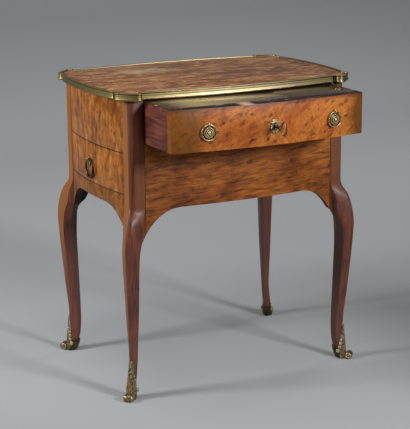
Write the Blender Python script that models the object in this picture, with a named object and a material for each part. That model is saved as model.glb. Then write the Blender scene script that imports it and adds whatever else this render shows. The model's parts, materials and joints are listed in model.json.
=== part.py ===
"""Writing table with an eared, brass-rimmed top, a bowed front drawer and a drawer in its left side.

Metres, +Z up. The front faces -Y and the viewer's left is -X. The origin lies on the floor, below the
middle of the table's box as it stands with its front drawer partly open.
"""

import math

import bmesh
import bpy
from mathutils import Matrix, Vector

# Overall
TABLE_HEIGHT = 0.720
CARCASS_WIDTH = 0.563
CARCASS_DEPTH = 0.389
CARCASS_HEIGHT = 0.2525
FIT_GAP = 0.0003

# Posts and legs
POST_SIZE = 0.037
POST_CHAMFER = 0.011
EDGE_EASE = 0.0012
KNEE_BULGE = 0.028
KNEE_DROP = 0.105
SHOULDER_RISE = 0.020
ANKLE_LEVEL = 0.090
ANKLE_REACH = 0.0035
ANKLE_DEPTH = 0.0310
ANKLE_HALF_WIDTH = 0.0110
FOOT_REACH = 0.010
FOOT_HALF_WIDTH = 0.0095
LEG_SETBACK = 0.0145
LEG_HALF_WIDTH = 0.0205
LEG_SPLAY = 0.0095

# Arches of the aprons, quarter ellipses that run on into the legs
ARCH_RUN = 0.107
ARCH_RISE = 0.150

# Bowed panels
FRONT_BOW = 0.021
SIDE_BOW = 0.015
PANEL_SETBACK = 0.001
PANEL_THICKNESS = 0.016
BOARD_THICKNESS = 0.012

# Top and rim
RIM_HEIGHT = 0.0175
RIM_THICKNESS = 0.0045
RIM_JOINT_FRONT = 0.132
RIM_JOINT_SIDE = 0.075
FRONT_OVERHANG = 0.003
SIDE_OVERHANG = 0.0225
TOP_SINK = 0.001
QUIRK_RADIUS = 0.006
NOTCH_RADIUS = 0.002
EAR_RADIUS = 0.011
EAR_OVERHANG = 0.0115
EAR_LENGTH = 0.045

# Sabots
SABOT_HEIGHT = 0.094
SABOT_WALL = 0.0038
LEAF_SHOULDER = 0.0600
SHELL_SIDE = 0.0220
SHELL_HEEL = 0.0330
SOLE_THICKNESS = 0.004
TOE_REACH = 0.0300
TOE_WIDTH = 0.020
TOE_THICKNESS = 0.006

# Front drawer
DRAWER_OPEN = 0.135
DRAWER_TOP_GAP = 0.0040
DRAWER_SIDE_GAP = 0.001
DRAWER_HEIGHT = 0.0950
DRAWER_LENGTH = 0.300
DRAWER_FRONT_THICKNESS = 0.018
DRAWER_SIDE_THICKNESS = 0.012
DRAWER_BACK_THICKNESS = 0.010
DRAWER_BOTTOM_THICKNESS = 0.007
RABBET_WIDTH = 0.006
SLIDE_THICKNESS = 0.007
SLIDE_DROP = 0.0005
GROOVE_DEPTH = 0.006
GROOVE_CLEARANCE = 0.0005
DIVIDER_X = 0.066
DIVIDER_THICKNESS = 0.008
SEAM_GAP = 0.0008
GUIDE_HEIGHT = 0.036
STOP_LENGTH = 0.018
STOP_WIDTH = 0.060
STOP_HEIGHT = 0.020

# Lock and key
KEY_DROP = 0.0530
LOCK_WIDTH = 0.056
LOCK_DEPTH = 0.013
LOCK_BELOW_KEY = 0.017
LOCK_WALL = 0.002
BOLT_WIDTH = 0.022
BOLT_THICKNESS = 0.0055
BOLT_LENGTH = 0.030
BOLT_TRAVEL = 0.0072
BOLT_CLEARANCE = 0.0005
KEY_SHANK_RADIUS = 0.0027
KEY_CLEARANCE = 0.0004
KEY_BIT_HEIGHT = 0.0085
KEY_BIT_THICKNESS = 0.0028
KEY_BIT_LENGTH = 0.005
KEY_SHANK_REACH = 0.029
KEY_BOW_LENGTH = 0.025
KEY_BOW_WIDTH = 0.033
KEY_BOW_WIRE = 0.0022
KEY_REST_TURN = math.radians(45)
KEY_BOW_TURN = math.radians(-45)
ESCUTCHEON_WIDTH = 0.021
ESCUTCHEON_HEIGHT = 0.031
ESCUTCHEON_THICKNESS = 0.0013

# Ring pulls
PULL_SHARE = 0.65
PULL_RADIUS = 0.0173
PULL_WIRE = 0.0022
PULL_STANDOFF = 0.0049
PULL_EYE_WIDTH = 0.005
PULL_EYE_CLEARANCE = 0.00045
PULL_EYE_WALL = 0.0017
ROSETTE_RADIUS = 0.013
ROSETTE_BOSS_RADIUS = 0.0105
ROSETTE_BOSS_HEIGHT = 0.009
SIDE_PULL_RADIUS = 0.0215
SIDE_PULL_RISE = 0.0118
SIDE_ROSETTE_RADIUS = 0.0085
SIDE_BOSS_RADIUS = 0.0060

# Side drawer
SIDE_DRAWER_DROP = 0.0255
SIDE_DRAWER_HEIGHT = 0.0955
SIDE_DRAWER_GAP = 0.0007
SIDE_DRAWER_LENGTH = 0.460
SIDE_DRAWER_WALL_DROP = 0.014
SIDE_DRAWER_WALL = 0.010
SIDE_PULL_LEVEL = 0.0430
SIDE_GUIDE_HEIGHT = 0.026

# Worked out from the sizes above
ROOT2 = math.sqrt(2)
POST_X = CARCASS_WIDTH / 2
POST_Y = CARCASS_DEPTH / 2
OPENING_X = POST_X - POST_SIZE
OPENING_Y = POST_Y - POST_SIZE
UNDERSIDE = TABLE_HEIGHT - RIM_HEIGHT
APRON_LEVEL = UNDERSIDE - CARCASS_HEIGHT
ARCH_SPRING = APRON_LEVEL - ARCH_RISE
SHELL_GAP = 1.6 * FIT_GAP
DRAWER_TOP = UNDERSIDE - DRAWER_TOP_GAP
DRAWER_BOTTOM = DRAWER_TOP - DRAWER_HEIGHT
DUST_BOARD_TOP = DRAWER_BOTTOM - FIT_GAP
SIDE_DRAWER_TOP = DRAWER_BOTTOM - SIDE_DRAWER_DROP
SIDE_DRAWER_BOTTOM = SIDE_DRAWER_TOP - SIDE_DRAWER_HEIGHT
BOTTOM_BOARD_TOP = SIDE_DRAWER_BOTTOM - FIT_GAP
FRONT_FACE_Y = POST_Y - PANEL_SETBACK
SIDE_FACE_X = POST_X - PANEL_SETBACK
FRONT_CROWN_Y = FRONT_FACE_Y + FRONT_BOW
SIDE_CROWN_X = SIDE_FACE_X + SIDE_BOW
TOP_Y = FRONT_CROWN_Y + FRONT_OVERHANG
TOP_X = SIDE_CROWN_X + SIDE_OVERHANG
DRAWER_X = OPENING_X - DRAWER_SIDE_GAP
DRAWER_FRONT_BACK = -(FRONT_FACE_Y - DRAWER_FRONT_THICKNESS)
DRAWER_END = DRAWER_FRONT_BACK + DRAWER_LENGTH
SLIDE_TOP = DRAWER_TOP - SLIDE_DROP
SLIDE_BOTTOM = SLIDE_TOP - SLIDE_THICKNESS
KEY_LEVEL = DRAWER_TOP - KEY_DROP
KEY_REACH = KEY_SHANK_REACH + KEY_BOW_LENGTH
KEY_HOLE_RADIUS = KEY_SHANK_RADIUS + KEY_CLEARANCE
PULL_X = PULL_SHARE * OPENING_X
PULL_EYE_RADIUS = PULL_WIRE + PULL_EYE_CLEARANCE


# Plan curves

def bowed(base, rise, half_span, along):
    """Distance of a bowed face from the middle plane at a place along it."""
    return base + rise * (1 - (along / half_span) ** 2)


def front_face(x):
    return bowed(FRONT_FACE_Y, FRONT_BOW, OPENING_X, x)


def side_face(y):
    return bowed(SIDE_FACE_X, SIDE_BOW, OPENING_Y, y)


def arch_level(along, opening):
    """Lower edge of an apron: flat in the middle, a quarter ellipse down to each leg."""
    start = opening + POST_SIZE - LEG_SETBACK - ARCH_RUN
    part = max(0.0, (abs(along) - start) / ARCH_RUN)
    return ARCH_SPRING + ARCH_RISE * math.sqrt(max(0.0, 1 - part ** 2))


BRACKET_LEVEL = arch_level(OPENING_X, OPENING_X)


def spread(low, high, count):
    """Evenly spaced values from low to high, both included."""
    return [low + (high - low) * i / (count - 1) for i in range(count)]


def arch_stations(opening):
    """Places along an apron, closer together where its arch bends down to the legs."""
    end = opening - FIT_GAP
    flat = opening + POST_SIZE - LEG_SETBACK - ARCH_RUN
    half = [flat + (end - flat) * math.sin(math.pi / 2 * i / 7) for i in range(8)]
    return [-s for s in reversed(half)] + spread(-flat, flat, 9)[1:-1] + half


def arc(centre, radius, start, end, count):
    """Points of a circle's arc in plan, from one angle to another."""
    return [centre + radius * Vector((math.cos(a), math.sin(a))) for a in spread(start, end, count)]


def offset_path(points, distance):
    """An open path moved to its left by a distance, with mitred corners."""
    lefts = []
    for a, b in zip(points, points[1:]):
        edge = (b - a).normalized()
        lefts.append(Vector((-edge.y, edge.x)))
    moved = []
    for i, point in enumerate(points):
        before = lefts[max(i - 1, 0)]
        after = lefts[min(i, len(lefts) - 1)]
        mitre = before + after
        moved.append(point + mitre * (2 * distance / mitre.length_squared))
    return moved


def curve_at(knots, z):
    """Smooth curve through (height, value) knots, read at a height."""
    knots = sorted(knots)
    if z <= knots[0][0]:
        return knots[0][1]
    if z >= knots[-1][0]:
        return knots[-1][1]
    slopes = []
    for i in range(len(knots)):
        low = knots[max(i - 1, 0)]
        high = knots[min(i + 1, len(knots) - 1)]
        slopes.append((high[1] - low[1]) / (high[0] - low[0]))
    i = max(k for k in range(len(knots) - 1) if knots[k][0] <= z)
    (z0, v0), (z1, v1) = knots[i], knots[i + 1]
    span = z1 - z0
    t = (z - z0) / span
    s = 1 - t
    start = v0 + slopes[i] * span / 3
    end = v1 - slopes[i + 1] * span / 3
    return s ** 3 * v0 + 3 * s * s * t * start + 3 * s * t * t * end + t ** 3 * v1


# Meshes

def loft(rings, closed=False):
    """A solid through rings of equally many points, capped at both ends or joined end to end."""
    bm = bmesh.new()
    rows = [[bm.verts.new(point) for point in ring] for ring in rings]
    pairs = list(zip(rows, rows[1:]))
    if closed:
        pairs.append((rows[-1], rows[0]))
    else:
        bm.faces.new(rows[0])
        bm.faces.new(rows[-1])
    for low, high in pairs:
        for i in range(len(low)):
            j = (i + 1) % len(low)
            bm.faces.new((low[i], low[j], high[j], high[i]))
    bmesh.ops.recalc_face_normals(bm, faces=bm.faces)
    if bm.calc_volume(signed=True) < 0:
        bmesh.ops.reverse_faces(bm, faces=bm.faces)
    return bm


def prism(outline, shift):
    """An outline pushed along a vector."""
    return loft([outline, [point + shift for point in outline]])


def box(low, high):
    x0, y0, z0 = low
    x1, y1, z1 = high
    base = [Vector((x0, y0, z0)), Vector((x1, y0, z0)), Vector((x1, y1, z0)), Vector((x0, y1, z0))]
    return prism(base, Vector((0, 0, z1 - z0)))


def plate(plan, low, high):
    """A plan outline as a level board."""
    return prism([Vector((p[0], p[1], low)) for p in plan], Vector((0, 0, high - low)))


def turned(profile, sides):
    """A turned solid about Y from (radius, y) points."""
    rings = []
    for radius, y in profile:
        turn = [2 * math.pi * i / sides for i in range(sides)]
        rings.append([Vector((radius * math.cos(a), y, radius * math.sin(a))) for a in turn])
    return loft(rings)


def wire_ring(across, along, wire, steps, sides):
    """An oval ring of round wire in the XZ plane, centred on the origin."""
    rings = []
    for i in range(steps):
        a = 2 * math.pi * i / steps
        middle = Vector((across * math.cos(a), 0, along * math.sin(a)))
        out = Vector((math.cos(a) * along, 0, math.sin(a) * across)).normalized()
        ring = []
        for k in range(sides):
            b = 2 * math.pi * k / sides
            ring.append(middle + wire * (math.cos(b) * out + math.sin(b) * Vector((0, 1, 0))))
        rings.append(ring)
    return loft(rings, closed=True)


def rod_x(radius, low, high, sides):
    """A round rod along X."""
    rings = []
    for x in (low, high):
        turn = [2 * math.pi * i / sides for i in range(sides)]
        rings.append([Vector((x, radius * math.cos(a), radius * math.sin(a))) for a in turn])
    return loft(rings)


# Objects

def material(name, colour, roughness, metallic=0.0):
    made = bpy.data.materials.new(name)
    made.use_nodes = True
    shader = made.node_tree.nodes["Principled BSDF"]
    channels = [int(colour[i:i + 2], 16) / 255 for i in (0, 2, 4)]
    linear = [c / 12.92 if c <= 0.04045 else ((c + 0.055) / 1.055) ** 2.4 for c in channels]
    shader.inputs["Base Color"].default_value = (*linear, 1.0)
    shader.inputs["Roughness"].default_value = roughness
    shader.inputs["Metallic"].default_value = metallic
    made.diffuse_color = (*linear, 1.0)
    return made


class Body:
    """An empty on a joint's axis that carries pieces; the point is given with every drawer shut."""

    def __init__(self, name, point, parent=None, shift=(0, 0, 0)):
        self.point = Vector(point)
        self.empty = bpy.data.objects.new(name, None)
        self.empty.empty_display_size = 0.02
        bpy.context.scene.collection.objects.link(self.empty)
        start = parent.point if parent else Vector((0, 0, 0))
        self.empty.location = self.point - start + Vector(shift)
        if parent:
            self.empty.parent = parent.empty


def piece(name, bm, look, body, place=None):
    """One named object from a mesh given in the shut table's own coordinates."""
    if place is not None:
        bm.transform(place)
    bm.transform(Matrix.Translation(-body.point))
    mesh = bpy.data.meshes.new(name)
    bm.to_mesh(mesh)
    bm.free()
    mesh.shade_smooth()
    mesh.set_sharp_from_angle(angle=math.radians(32))
    mesh.materials.append(look)
    made = bpy.data.objects.new(name, mesh)
    bpy.context.scene.collection.objects.link(made)
    made.parent = body.empty
    return made


def combine(target, bm, operation, body, place=None):
    """Join a shape to a piece, or cut it out, with a hidden guide."""
    guide = piece(target.name + "_" + operation.lower(), bm, target.data.materials[0], body, place)
    guide.hide_render = True
    guide.display_type = "WIRE"
    change = target.modifiers.new(operation.title(), "BOOLEAN")
    change.operation = operation
    change.solver = "EXACT"
    change.object = guide


# Legs

def arch_fall(z):
    """How far in an arch has come from its spring at a height, as a share of its run."""
    return 1 - math.sqrt(max(0.0, 1 - ((z - ARCH_SPRING) / ARCH_RISE) ** 2))


def arch_edge(z):
    """How far in from the post's full corner an arch's edge meets a leg at a height."""
    return min(POST_SIZE, LEG_SETBACK + ARCH_RUN * arch_fall(z)) if z > ARCH_SPRING else 0.0


def leg_section(z):
    """Outer chamfer, inner corner and half width of a leg at a height.

    Distances run outwards along the corner's diagonal from the post's full square corner.
    """
    post_outer = -POST_CHAMFER / ROOT2
    post_half = POST_SIZE / ROOT2
    spring_inner = -LEG_SETBACK * ROOT2
    knee = APRON_LEVEL - KNEE_DROP
    middle = (ARCH_SPRING + ANKLE_LEVEL) / 2
    outer = curve_at([
        (0.0, FOOT_REACH),
        (ANKLE_LEVEL, ANKLE_REACH),
        (middle, ANKLE_REACH + 0.46 * (KNEE_BULGE - ANKLE_REACH)),
        (knee, KNEE_BULGE),
        (knee + 0.40 * KNEE_DROP, 0.87 * KNEE_BULGE),
        (knee + 0.77 * KNEE_DROP, 0.43 * KNEE_BULGE),
        (APRON_LEVEL + 0.1 * SHOULDER_RISE, post_outer + 0.08 * KNEE_BULGE),
        (APRON_LEVEL + SHOULDER_RISE, post_outer),
    ], z)
    half = curve_at([
        (0.0, FOOT_HALF_WIDTH),
        (ANKLE_LEVEL, ANKLE_HALF_WIDTH),
        (middle, 0.42 * ANKLE_HALF_WIDTH + 0.58 * LEG_HALF_WIDTH),
        (ARCH_SPRING, LEG_HALF_WIDTH),
        (BRACKET_LEVEL, 0.3 * LEG_HALF_WIDTH + 0.7 * post_half),
        (APRON_LEVEL, post_half),
    ], z)
    chamfer = curve_at([
        (0.0, 0.36 * POST_CHAMFER),
        (ARCH_SPRING, 0.50 * POST_CHAMFER),
        (APRON_LEVEL - 1.5 * SHOULDER_RISE, 0.55 * POST_CHAMFER),
        (APRON_LEVEL - 0.2 * SHOULDER_RISE, 0.38 * POST_CHAMFER),
        (APRON_LEVEL + 0.4 * SHOULDER_RISE, POST_CHAMFER / ROOT2),
        (APRON_LEVEL + SHOULDER_RISE, POST_CHAMFER / ROOT2),
    ], z)
    if z >= APRON_LEVEL:
        inner = -POST_SIZE * ROOT2
    elif z >= ARCH_SPRING:
        inner = spring_inner - ROOT2 * (POST_SIZE - LEG_SETBACK) * arch_fall(z)
    else:
        inner = curve_at([
            (0.0, ANKLE_REACH - 0.41 * ANKLE_DEPTH),
            (0.12 * ANKLE_LEVEL, ANKLE_REACH - 0.55 * ANKLE_DEPTH),
            (0.3 * ANKLE_LEVEL, ANKLE_REACH - 0.74 * ANKLE_DEPTH),
            (0.5 * ANKLE_LEVEL, ANKLE_REACH - 0.9 * ANKLE_DEPTH),
            (0.8 * ANKLE_LEVEL, ANKLE_REACH - 0.98 * ANKLE_DEPTH),
            (1.1 * ANKLE_LEVEL, ANKLE_REACH - ANKLE_DEPTH),
            (middle, 0.5 * (ANKLE_REACH - ANKLE_DEPTH) + 0.5 * spring_inner),
            (ARCH_SPRING, spring_inner),
        ], z)
    share = 1 - (POST_SIZE / ROOT2 - POST_CHAMFER / ROOT2) / (POST_SIZE * ROOT2 - POST_CHAMFER / ROOT2)
    deepest = min(inner, -ROOT2 * arch_edge(z))
    widest = deepest + share * (outer - deepest)
    return outer, inner, widest, half, chamfer


def diagonal(sx, sy, out, across, z):
    """A point given along and across one corner's diagonal; the legs splay sideways towards the floor."""
    across -= LEG_SPLAY * max(0.0, 1 - z / ARCH_SPRING) ** 1.3
    u = (out - across) / ROOT2
    w = (out + across) / ROOT2
    return Vector((sx * (POST_X + u), sy * (POST_Y + w), z))


def leg_outline(z):
    """Section of a leg: eased post corners above, which the arch's edge carries down into the leg."""
    outer, inner, widest, half, chamfer = leg_section(z)
    ease = EDGE_EASE / ROOT2
    heel = inner / ROOT2
    wide_u = (widest - half) / ROOT2
    wide_w = (widest + half) / ROOT2
    share = min(0.9, max(0.2, (-EDGE_EASE - heel) / (wide_w - heel)))
    seat_u = heel + share * (wide_u - heel)
    seat_w = heel + share * (wide_w - heel)
    down = min(1.0, max(0.0, (BRACKET_LEVEL - z) / (BRACKET_LEVEL - ARCH_SPRING)))
    if down < 1:
        seat_u = down * seat_u - (1 - down) * arch_edge(z)
        seat_w = -EDGE_EASE + down * (seat_w + EDGE_EASE)
    seat = ((seat_u + seat_w) / ROOT2, (seat_w - seat_u) / ROOT2)
    half_ring = [(outer, chamfer), (widest + ease, half - ease), seat, (inner + ease, ease)]
    corners = half_ring + [(out, -across) for out, across in reversed(half_ring)]
    return [Vector(corner) for corner in corners]


def leg_ring(sx, sy, z):
    return [diagonal(sx, sy, p.x, p.y, z) for p in leg_outline(z)]


def foot_levels():
    """Heights shared by a leg's foot and its sabot, so that the two fit all the way up."""
    return spread(SOLE_THICKNESS + FIT_GAP, SHELL_HEEL, 6) + spread(SHELL_HEEL, SABOT_HEIGHT, 5)[1:]


def leg(name, sx, sy, look, body):
    heights = foot_levels()
    heights += spread(SABOT_HEIGHT, ARCH_SPRING, 8)[1:]
    heights += spread(ARCH_SPRING, BRACKET_LEVEL, 6)[1:]
    heights += spread(BRACKET_LEVEL, APRON_LEVEL - 0.6 * SHOULDER_RISE, 5)[1:]
    heights += spread(APRON_LEVEL - 0.6 * SHOULDER_RISE, APRON_LEVEL + SHOULDER_RISE, 6)[1:]
    heights.append(UNDERSIDE - FIT_GAP)
    piece(name, loft([leg_ring(sx, sy, z) for z in heights]), look, body)


# Sabots

def foot_line(z, gap):
    """The leg's outline at a height, moved out by a gap, with a point more in each front face."""
    loop = leg_outline(z)
    closed = [loop[-1]] + loop + [loop[0]]
    line = offset_path(closed, -gap)[1:-1]
    return [line[0], line[0].lerp(line[1], 0.5)] + line[1:7] + [line[6].lerp(line[7], 0.5), line[7]]


def shell_ring(sx, sy, share, gap):
    """A line round the foot, a share of the way up to the shell's waved edge, a gap away from the wood."""
    tops = [SABOT_HEIGHT, LEAF_SHOULDER, SHELL_SIDE, (SHELL_SIDE + SHELL_HEEL) / 2, SHELL_HEEL]
    tops += tops[::-1]
    low = 0.35 * SOLE_THICKNESS
    ring = []
    for i, top in enumerate(tops):
        z = low + share * (top - low)
        point = foot_line(z, gap)[i]
        ring.append(diagonal(sx, sy, point.x, point.y, z))
    return ring


def sabot(name, sx, sy, look, body):
    """Shell round the foot, high in front as a leaf and low at the sides, with a sole and a toe."""
    rings = [shell_ring(sx, sy, share, SHELL_GAP) for share in spread(0.0, 1.0, 7)]
    for share, wall in ((1.0, 0.45), (0.7, 0.85), (0.4, 1.0), (0.15, 1.0), (0.0, 0.75)):
        rings.append(shell_ring(sx, sy, share, SHELL_GAP + wall * SABOT_WALL))
    made = piece(name, loft(rings, closed=True), look, body)
    sole = foot_line(0.0, SHELL_GAP + 0.45 * SABOT_WALL)
    rings = [[diagonal(sx, sy, p.x, p.y, z) for p in sole] for z in (0.0, SOLE_THICKNESS)]
    combine(made, loft(rings), "UNION", body)
    combine(made, loft(toe_scroll(sx, sy)), "UNION", body)


def toe_scroll(sx, sy):
    """A tongue that leaves the sole, rises at the toe and curls back on itself."""
    thin = TOE_THICKNESS / 2
    curl = 0.0062
    middle = Vector((TOE_REACH - curl - thin, 0.0006 + thin + curl))
    path = [Vector((FOOT_REACH + FIT_GAP + 0.3 * SABOT_WALL, 0.0006 + thin))]
    path += arc(middle, curl, -math.pi / 2, math.radians(200), 9)
    left = offset_path(path, thin)
    right = offset_path(path, -thin)
    rings = []
    for i, (a, b) in enumerate(zip(left, right)):
        taper = 1 - 0.22 * i / (len(path) - 1)
        wide = TOE_WIDTH / 2 * taper
        low = b.lerp(a, (1 - taper) / 2)
        high = a.lerp(b, (1 - taper) / 2)
        corners = [(low, -wide), (low, wide), (high, wide), (high, -wide)]
        rings.append([diagonal(sx, sy, p.x, across, p.y) for p, across in corners])
    return rings


# Top and rim

def top_edge_front(x):
    """Rim's outer edge along the front or back, and the way it faces, in the first quadrant."""
    y = bowed(TOP_Y - FRONT_BOW, FRONT_BOW, OPENING_X, x)
    slope = 2 * FRONT_BOW * x / OPENING_X ** 2
    return Vector((x, y)), Vector((slope, 1)).normalized()


def top_edge_side(y):
    x = bowed(TOP_X - SIDE_BOW, SIDE_BOW, OPENING_Y, y)
    slope = 2 * SIDE_BOW * y / OPENING_Y ** 2
    return Vector((x, y)), Vector((1, slope)).normalized()


def touching(a, ra, b, rb, radius, outward):
    """Centre of a circle that touches two others from outside, on the side that outward points to."""
    da = ra + radius
    db = rb + radius
    across = b - a
    span = across.length
    along = (da * da - db * db + span * span) / (2 * span)
    away = math.sqrt(da * da - along * along)
    unit = across / span
    normal = Vector((-unit.y, unit.x))
    if normal.dot(outward) < 0:
        normal = -normal
    return a + unit * along + normal * away


def quirk_start(edge, ear_end, axis):
    """Where an edge leaves its bow so that its rounded end stands a notch away from the ear."""
    apart = EAR_RADIUS + QUIRK_RADIUS + 1.85 * NOTCH_RADIUS
    along = ear_end[axis] - apart
    for _ in range(6):
        point, out = edge(along)
        quirk = point - out * QUIRK_RADIUS
        aside = min(abs(ear_end[1 - axis] - quirk[1 - axis]), 0.9 * apart)
        along += ear_end[axis] - math.sqrt(apart ** 2 - aside ** 2) - quirk[axis]
    return edge(along)


def angle_of(vector):
    return math.atan2(vector.y, vector.x)


def notch(middle, before, after):
    """The hollow turn between two rounds, without its ends."""
    start = angle_of(before - middle)
    end = angle_of(after - middle)
    if end > start:
        end -= 2 * math.pi
    return arc(middle, NOTCH_RADIUS, start, end, 5)[1:-1]


def ear_path():
    """First quadrant of the rim's outer edge, from the side's joint round the ear to the front's."""
    diagonal_out = Vector((1, 1)) / ROOT2
    middle = Vector((POST_X, POST_Y)) - Vector((1, 1)) * POST_CHAMFER / 2
    middle += diagonal_out * (EAR_OVERHANG - EAR_RADIUS)
    middle += Vector((SIDE_OVERHANG - FRONT_OVERHANG, FRONT_OVERHANG - SIDE_OVERHANG)) / 12
    run = Vector((1, -1)) / ROOT2 * (EAR_LENGTH / 2)
    side_end, front_end = middle + run, middle - run
    side_point, side_out = quirk_start(top_edge_side, side_end, 1)
    front_point, front_out = quirk_start(top_edge_front, front_end, 0)
    side_quirk = side_point - side_out * QUIRK_RADIUS
    front_quirk = front_point - front_out * QUIRK_RADIUS
    side_notch = touching(side_quirk, QUIRK_RADIUS, side_end, EAR_RADIUS, NOTCH_RADIUS, Vector((1, 0)))
    front_notch = touching(front_quirk, QUIRK_RADIUS, front_end, EAR_RADIUS, NOTCH_RADIUS, Vector((0, 1)))
    path = [top_edge_side(y)[0] for y in spread(RIM_JOINT_SIDE, side_point.y, 5)[:-1]]
    path += arc(side_quirk, QUIRK_RADIUS, angle_of(side_out), angle_of(side_notch - side_quirk), 4)
    path += notch(side_notch, side_quirk, side_end)
    path += arc(side_end, EAR_RADIUS, angle_of(side_notch - side_end), math.pi / 4, 5)
    path += arc(front_end, EAR_RADIUS, math.pi / 4, angle_of(front_notch - front_end) % (2 * math.pi), 5)
    path += notch(front_notch, front_end, front_quirk)
    path += arc(front_quirk, QUIRK_RADIUS, angle_of(front_notch - front_quirk), angle_of(front_out), 4)
    path += [top_edge_front(x)[0] for x in spread(front_point.x, RIM_JOINT_FRONT, 5)[1:]]
    return path


def trimmed(path):
    """A rim length's path, drawn back at both ends for the butt joints."""
    first = (path[1] - path[0]).normalized() * (FIT_GAP / 2)
    last = (path[-2] - path[-1]).normalized() * (FIT_GAP / 2)
    return [path[0] + first] + path[1:-1] + [path[-1] + last]


def rim_profile():
    """Section of the moulded rim as (depth behind the outer edge, height): bead, hollow, bead."""
    deep = RIM_THICKNESS
    high = RIM_HEIGHT
    return [
        (deep, 0.98 * high), (0.75 * deep, high), (0.30 * deep, high), (0.06 * deep, 0.96 * high),
        (0.0, 0.90 * high), (0.09 * deep, 0.84 * high), (0.36 * deep, 0.81 * high),
        (0.26 * deep, 0.74 * high), (0.29 * deep, 0.50 * high), (0.25 * deep, 0.28 * high),
        (0.03 * deep, 0.20 * high), (0.03 * deep, 0.08 * high), (0.20 * deep, 0.0), (deep, 0.0),
    ]


def rim_length(name, path, look, body):
    """One length of rim along a path that keeps the table on its left."""
    path = trimmed(path)
    sides = [[(p, UNDERSIDE + height) for p in offset_path(path, depth)] for depth, height in rim_profile()]
    rings = [[Vector((p.x, p.y, z)) for p, z in ring] for ring in zip(*sides)]
    piece(name, loft(rings), look, body)


def mirrored(path, sx, sy):
    """A first-quadrant path in another quadrant, still with the table on its left."""
    moved = [Vector((sx * p.x, sy * p.y)) for p in path]
    return moved if sx * sy > 0 else moved[::-1]


def build_top(wood, brass, body):
    corner = ear_path()
    front = [top_edge_front(x)[0] for x in spread(RIM_JOINT_FRONT, -RIM_JOINT_FRONT, 9)]
    side = [top_edge_side(y)[0] for y in spread(-RIM_JOINT_SIDE, RIM_JOINT_SIDE, 7)]
    back_left = [Vector((-p.x, -p.y)) for p in corner]
    rim_length("rim_back", front, brass, body)
    rim_length("rim_front", [Vector((-p.x, -p.y)) for p in front], brass, body)
    rim_length("rim_right", side, brass, body)
    rim_length("rim_left", [Vector((-p.x, -p.y)) for p in side], brass, body)
    rim_length("rim_corner_back_right", corner, brass, body)
    rim_length("rim_corner_back_left", mirrored(corner, -1, 1), brass, body)
    rim_length("rim_corner_front_left", back_left, brass, body)
    rim_length("rim_corner_front_right", mirrored(corner, 1, -1), brass, body)
    loop = corner + front[1:-1] + mirrored(corner, -1, 1)
    loop += [Vector((-p.x, -p.y)) for p in side][1:-1] + back_left
    loop += [Vector((-p.x, -p.y)) for p in front][1:-1] + mirrored(corner, 1, -1) + side[1:-1]
    closed = [loop[-1]] + loop + [loop[0]]
    plan = offset_path(closed, RIM_THICKNESS + FIT_GAP)[1:-1]
    made = piece("top_panel", plate(plan, UNDERSIDE, TABLE_HEIGHT - TOP_SINK), wood, body)
    wide = BOLT_WIDTH / 2 + BOLT_CLEARANCE + 0.001
    near = lock_middle_y() - BOLT_THICKNESS / 2 - BOLT_CLEARANCE - 0.001
    far = lock_middle_y() + BOLT_THICKNESS / 2 + BOLT_CLEARANCE + 0.001
    mortise = box((-wide, near, UNDERSIDE - 0.002), (wide, far, DRAWER_TOP + BOLT_TRAVEL + 0.002))
    combine(made, mortise, "DIFFERENCE", body)


# Carcass panels and boards

def bowed_panel(name, along_x, side, low, high, look, body, stations, thickness=PANEL_THICKNESS):
    """A panel bowed in plan; low and high are levels or functions of the place along it."""
    rings = []
    for s in stations:
        outer = front_face(s) if along_x else side_face(s)
        inner = outer - thickness
        bottom = low(s) if callable(low) else low
        ring = []
        for depth, z in ((outer, bottom), (outer, high), (inner, high), (inner, bottom)):
            point = (s, side * depth, z) if along_x else (side * depth, s, z)
            ring.append(Vector(point))
        rings.append(ring)
    return piece(name, loft(rings), look, body)


def board_plan():
    """Plan of a level board: inside the bowed panels and notched round the posts."""
    wide = OPENING_X - FIT_GAP
    deep = OPENING_Y - FIT_GAP
    wall = PANEL_THICKNESS + FIT_GAP
    front = [Vector((x, -(front_face(x) - wall))) for x in spread(-wide, wide, 11)]
    right = [Vector((side_face(y) - wall, y)) for y in spread(-deep, deep, 9)]
    half = front + [Vector((wide, -deep))] + right + [Vector((wide, deep))]
    return half + [Vector((-p.x, -p.y)) for p in half]


def build_carcass(wood, panel_wood, side_wood, inner_wood, body):
    corners = (("front_left", -1, -1), ("front_right", 1, -1), ("back_left", -1, 1), ("back_right", 1, 1))
    for place, sx, sy in corners:
        leg("leg_" + place, sx, sy, wood, body)
    high = UNDERSIDE - FIT_GAP
    wide_stations = arch_stations(OPENING_X)
    deep_stations = arch_stations(OPENING_Y)
    level = spread(-(OPENING_Y - FIT_GAP), OPENING_Y - FIT_GAP, 11)

    def front_arch(x):
        return arch_level(x, OPENING_X)

    def side_arch(y):
        return arch_level(y, OPENING_Y)

    front_top = DRAWER_BOTTOM - DRAWER_SIDE_GAP
    bowed_panel("front_panel", True, -1, front_arch, front_top, panel_wood, body, wide_stations)
    bowed_panel("back_panel", True, 1, front_arch, high, panel_wood, body, wide_stations)
    bowed_panel("right_side_panel", False, 1, side_arch, high, side_wood, body, deep_stations)
    upper_low = SIDE_DRAWER_TOP + SIDE_DRAWER_GAP
    bowed_panel("left_upper_panel", False, -1, upper_low, high, side_wood, body, level)
    apron_top = SIDE_DRAWER_BOTTOM - SIDE_DRAWER_GAP
    bowed_panel("left_apron", False, -1, side_arch, apron_top, side_wood, body, deep_stations)
    plan = board_plan()
    piece("dust_board", plate(plan, DUST_BOARD_TOP - BOARD_THICKNESS, DUST_BOARD_TOP), inner_wood, body)
    piece("bottom_board", plate(plan, BOTTOM_BOARD_TOP - BOARD_THICKNESS, BOTTOM_BOARD_TOP), inner_wood, body)
    build_runners(inner_wood, body)


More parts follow.
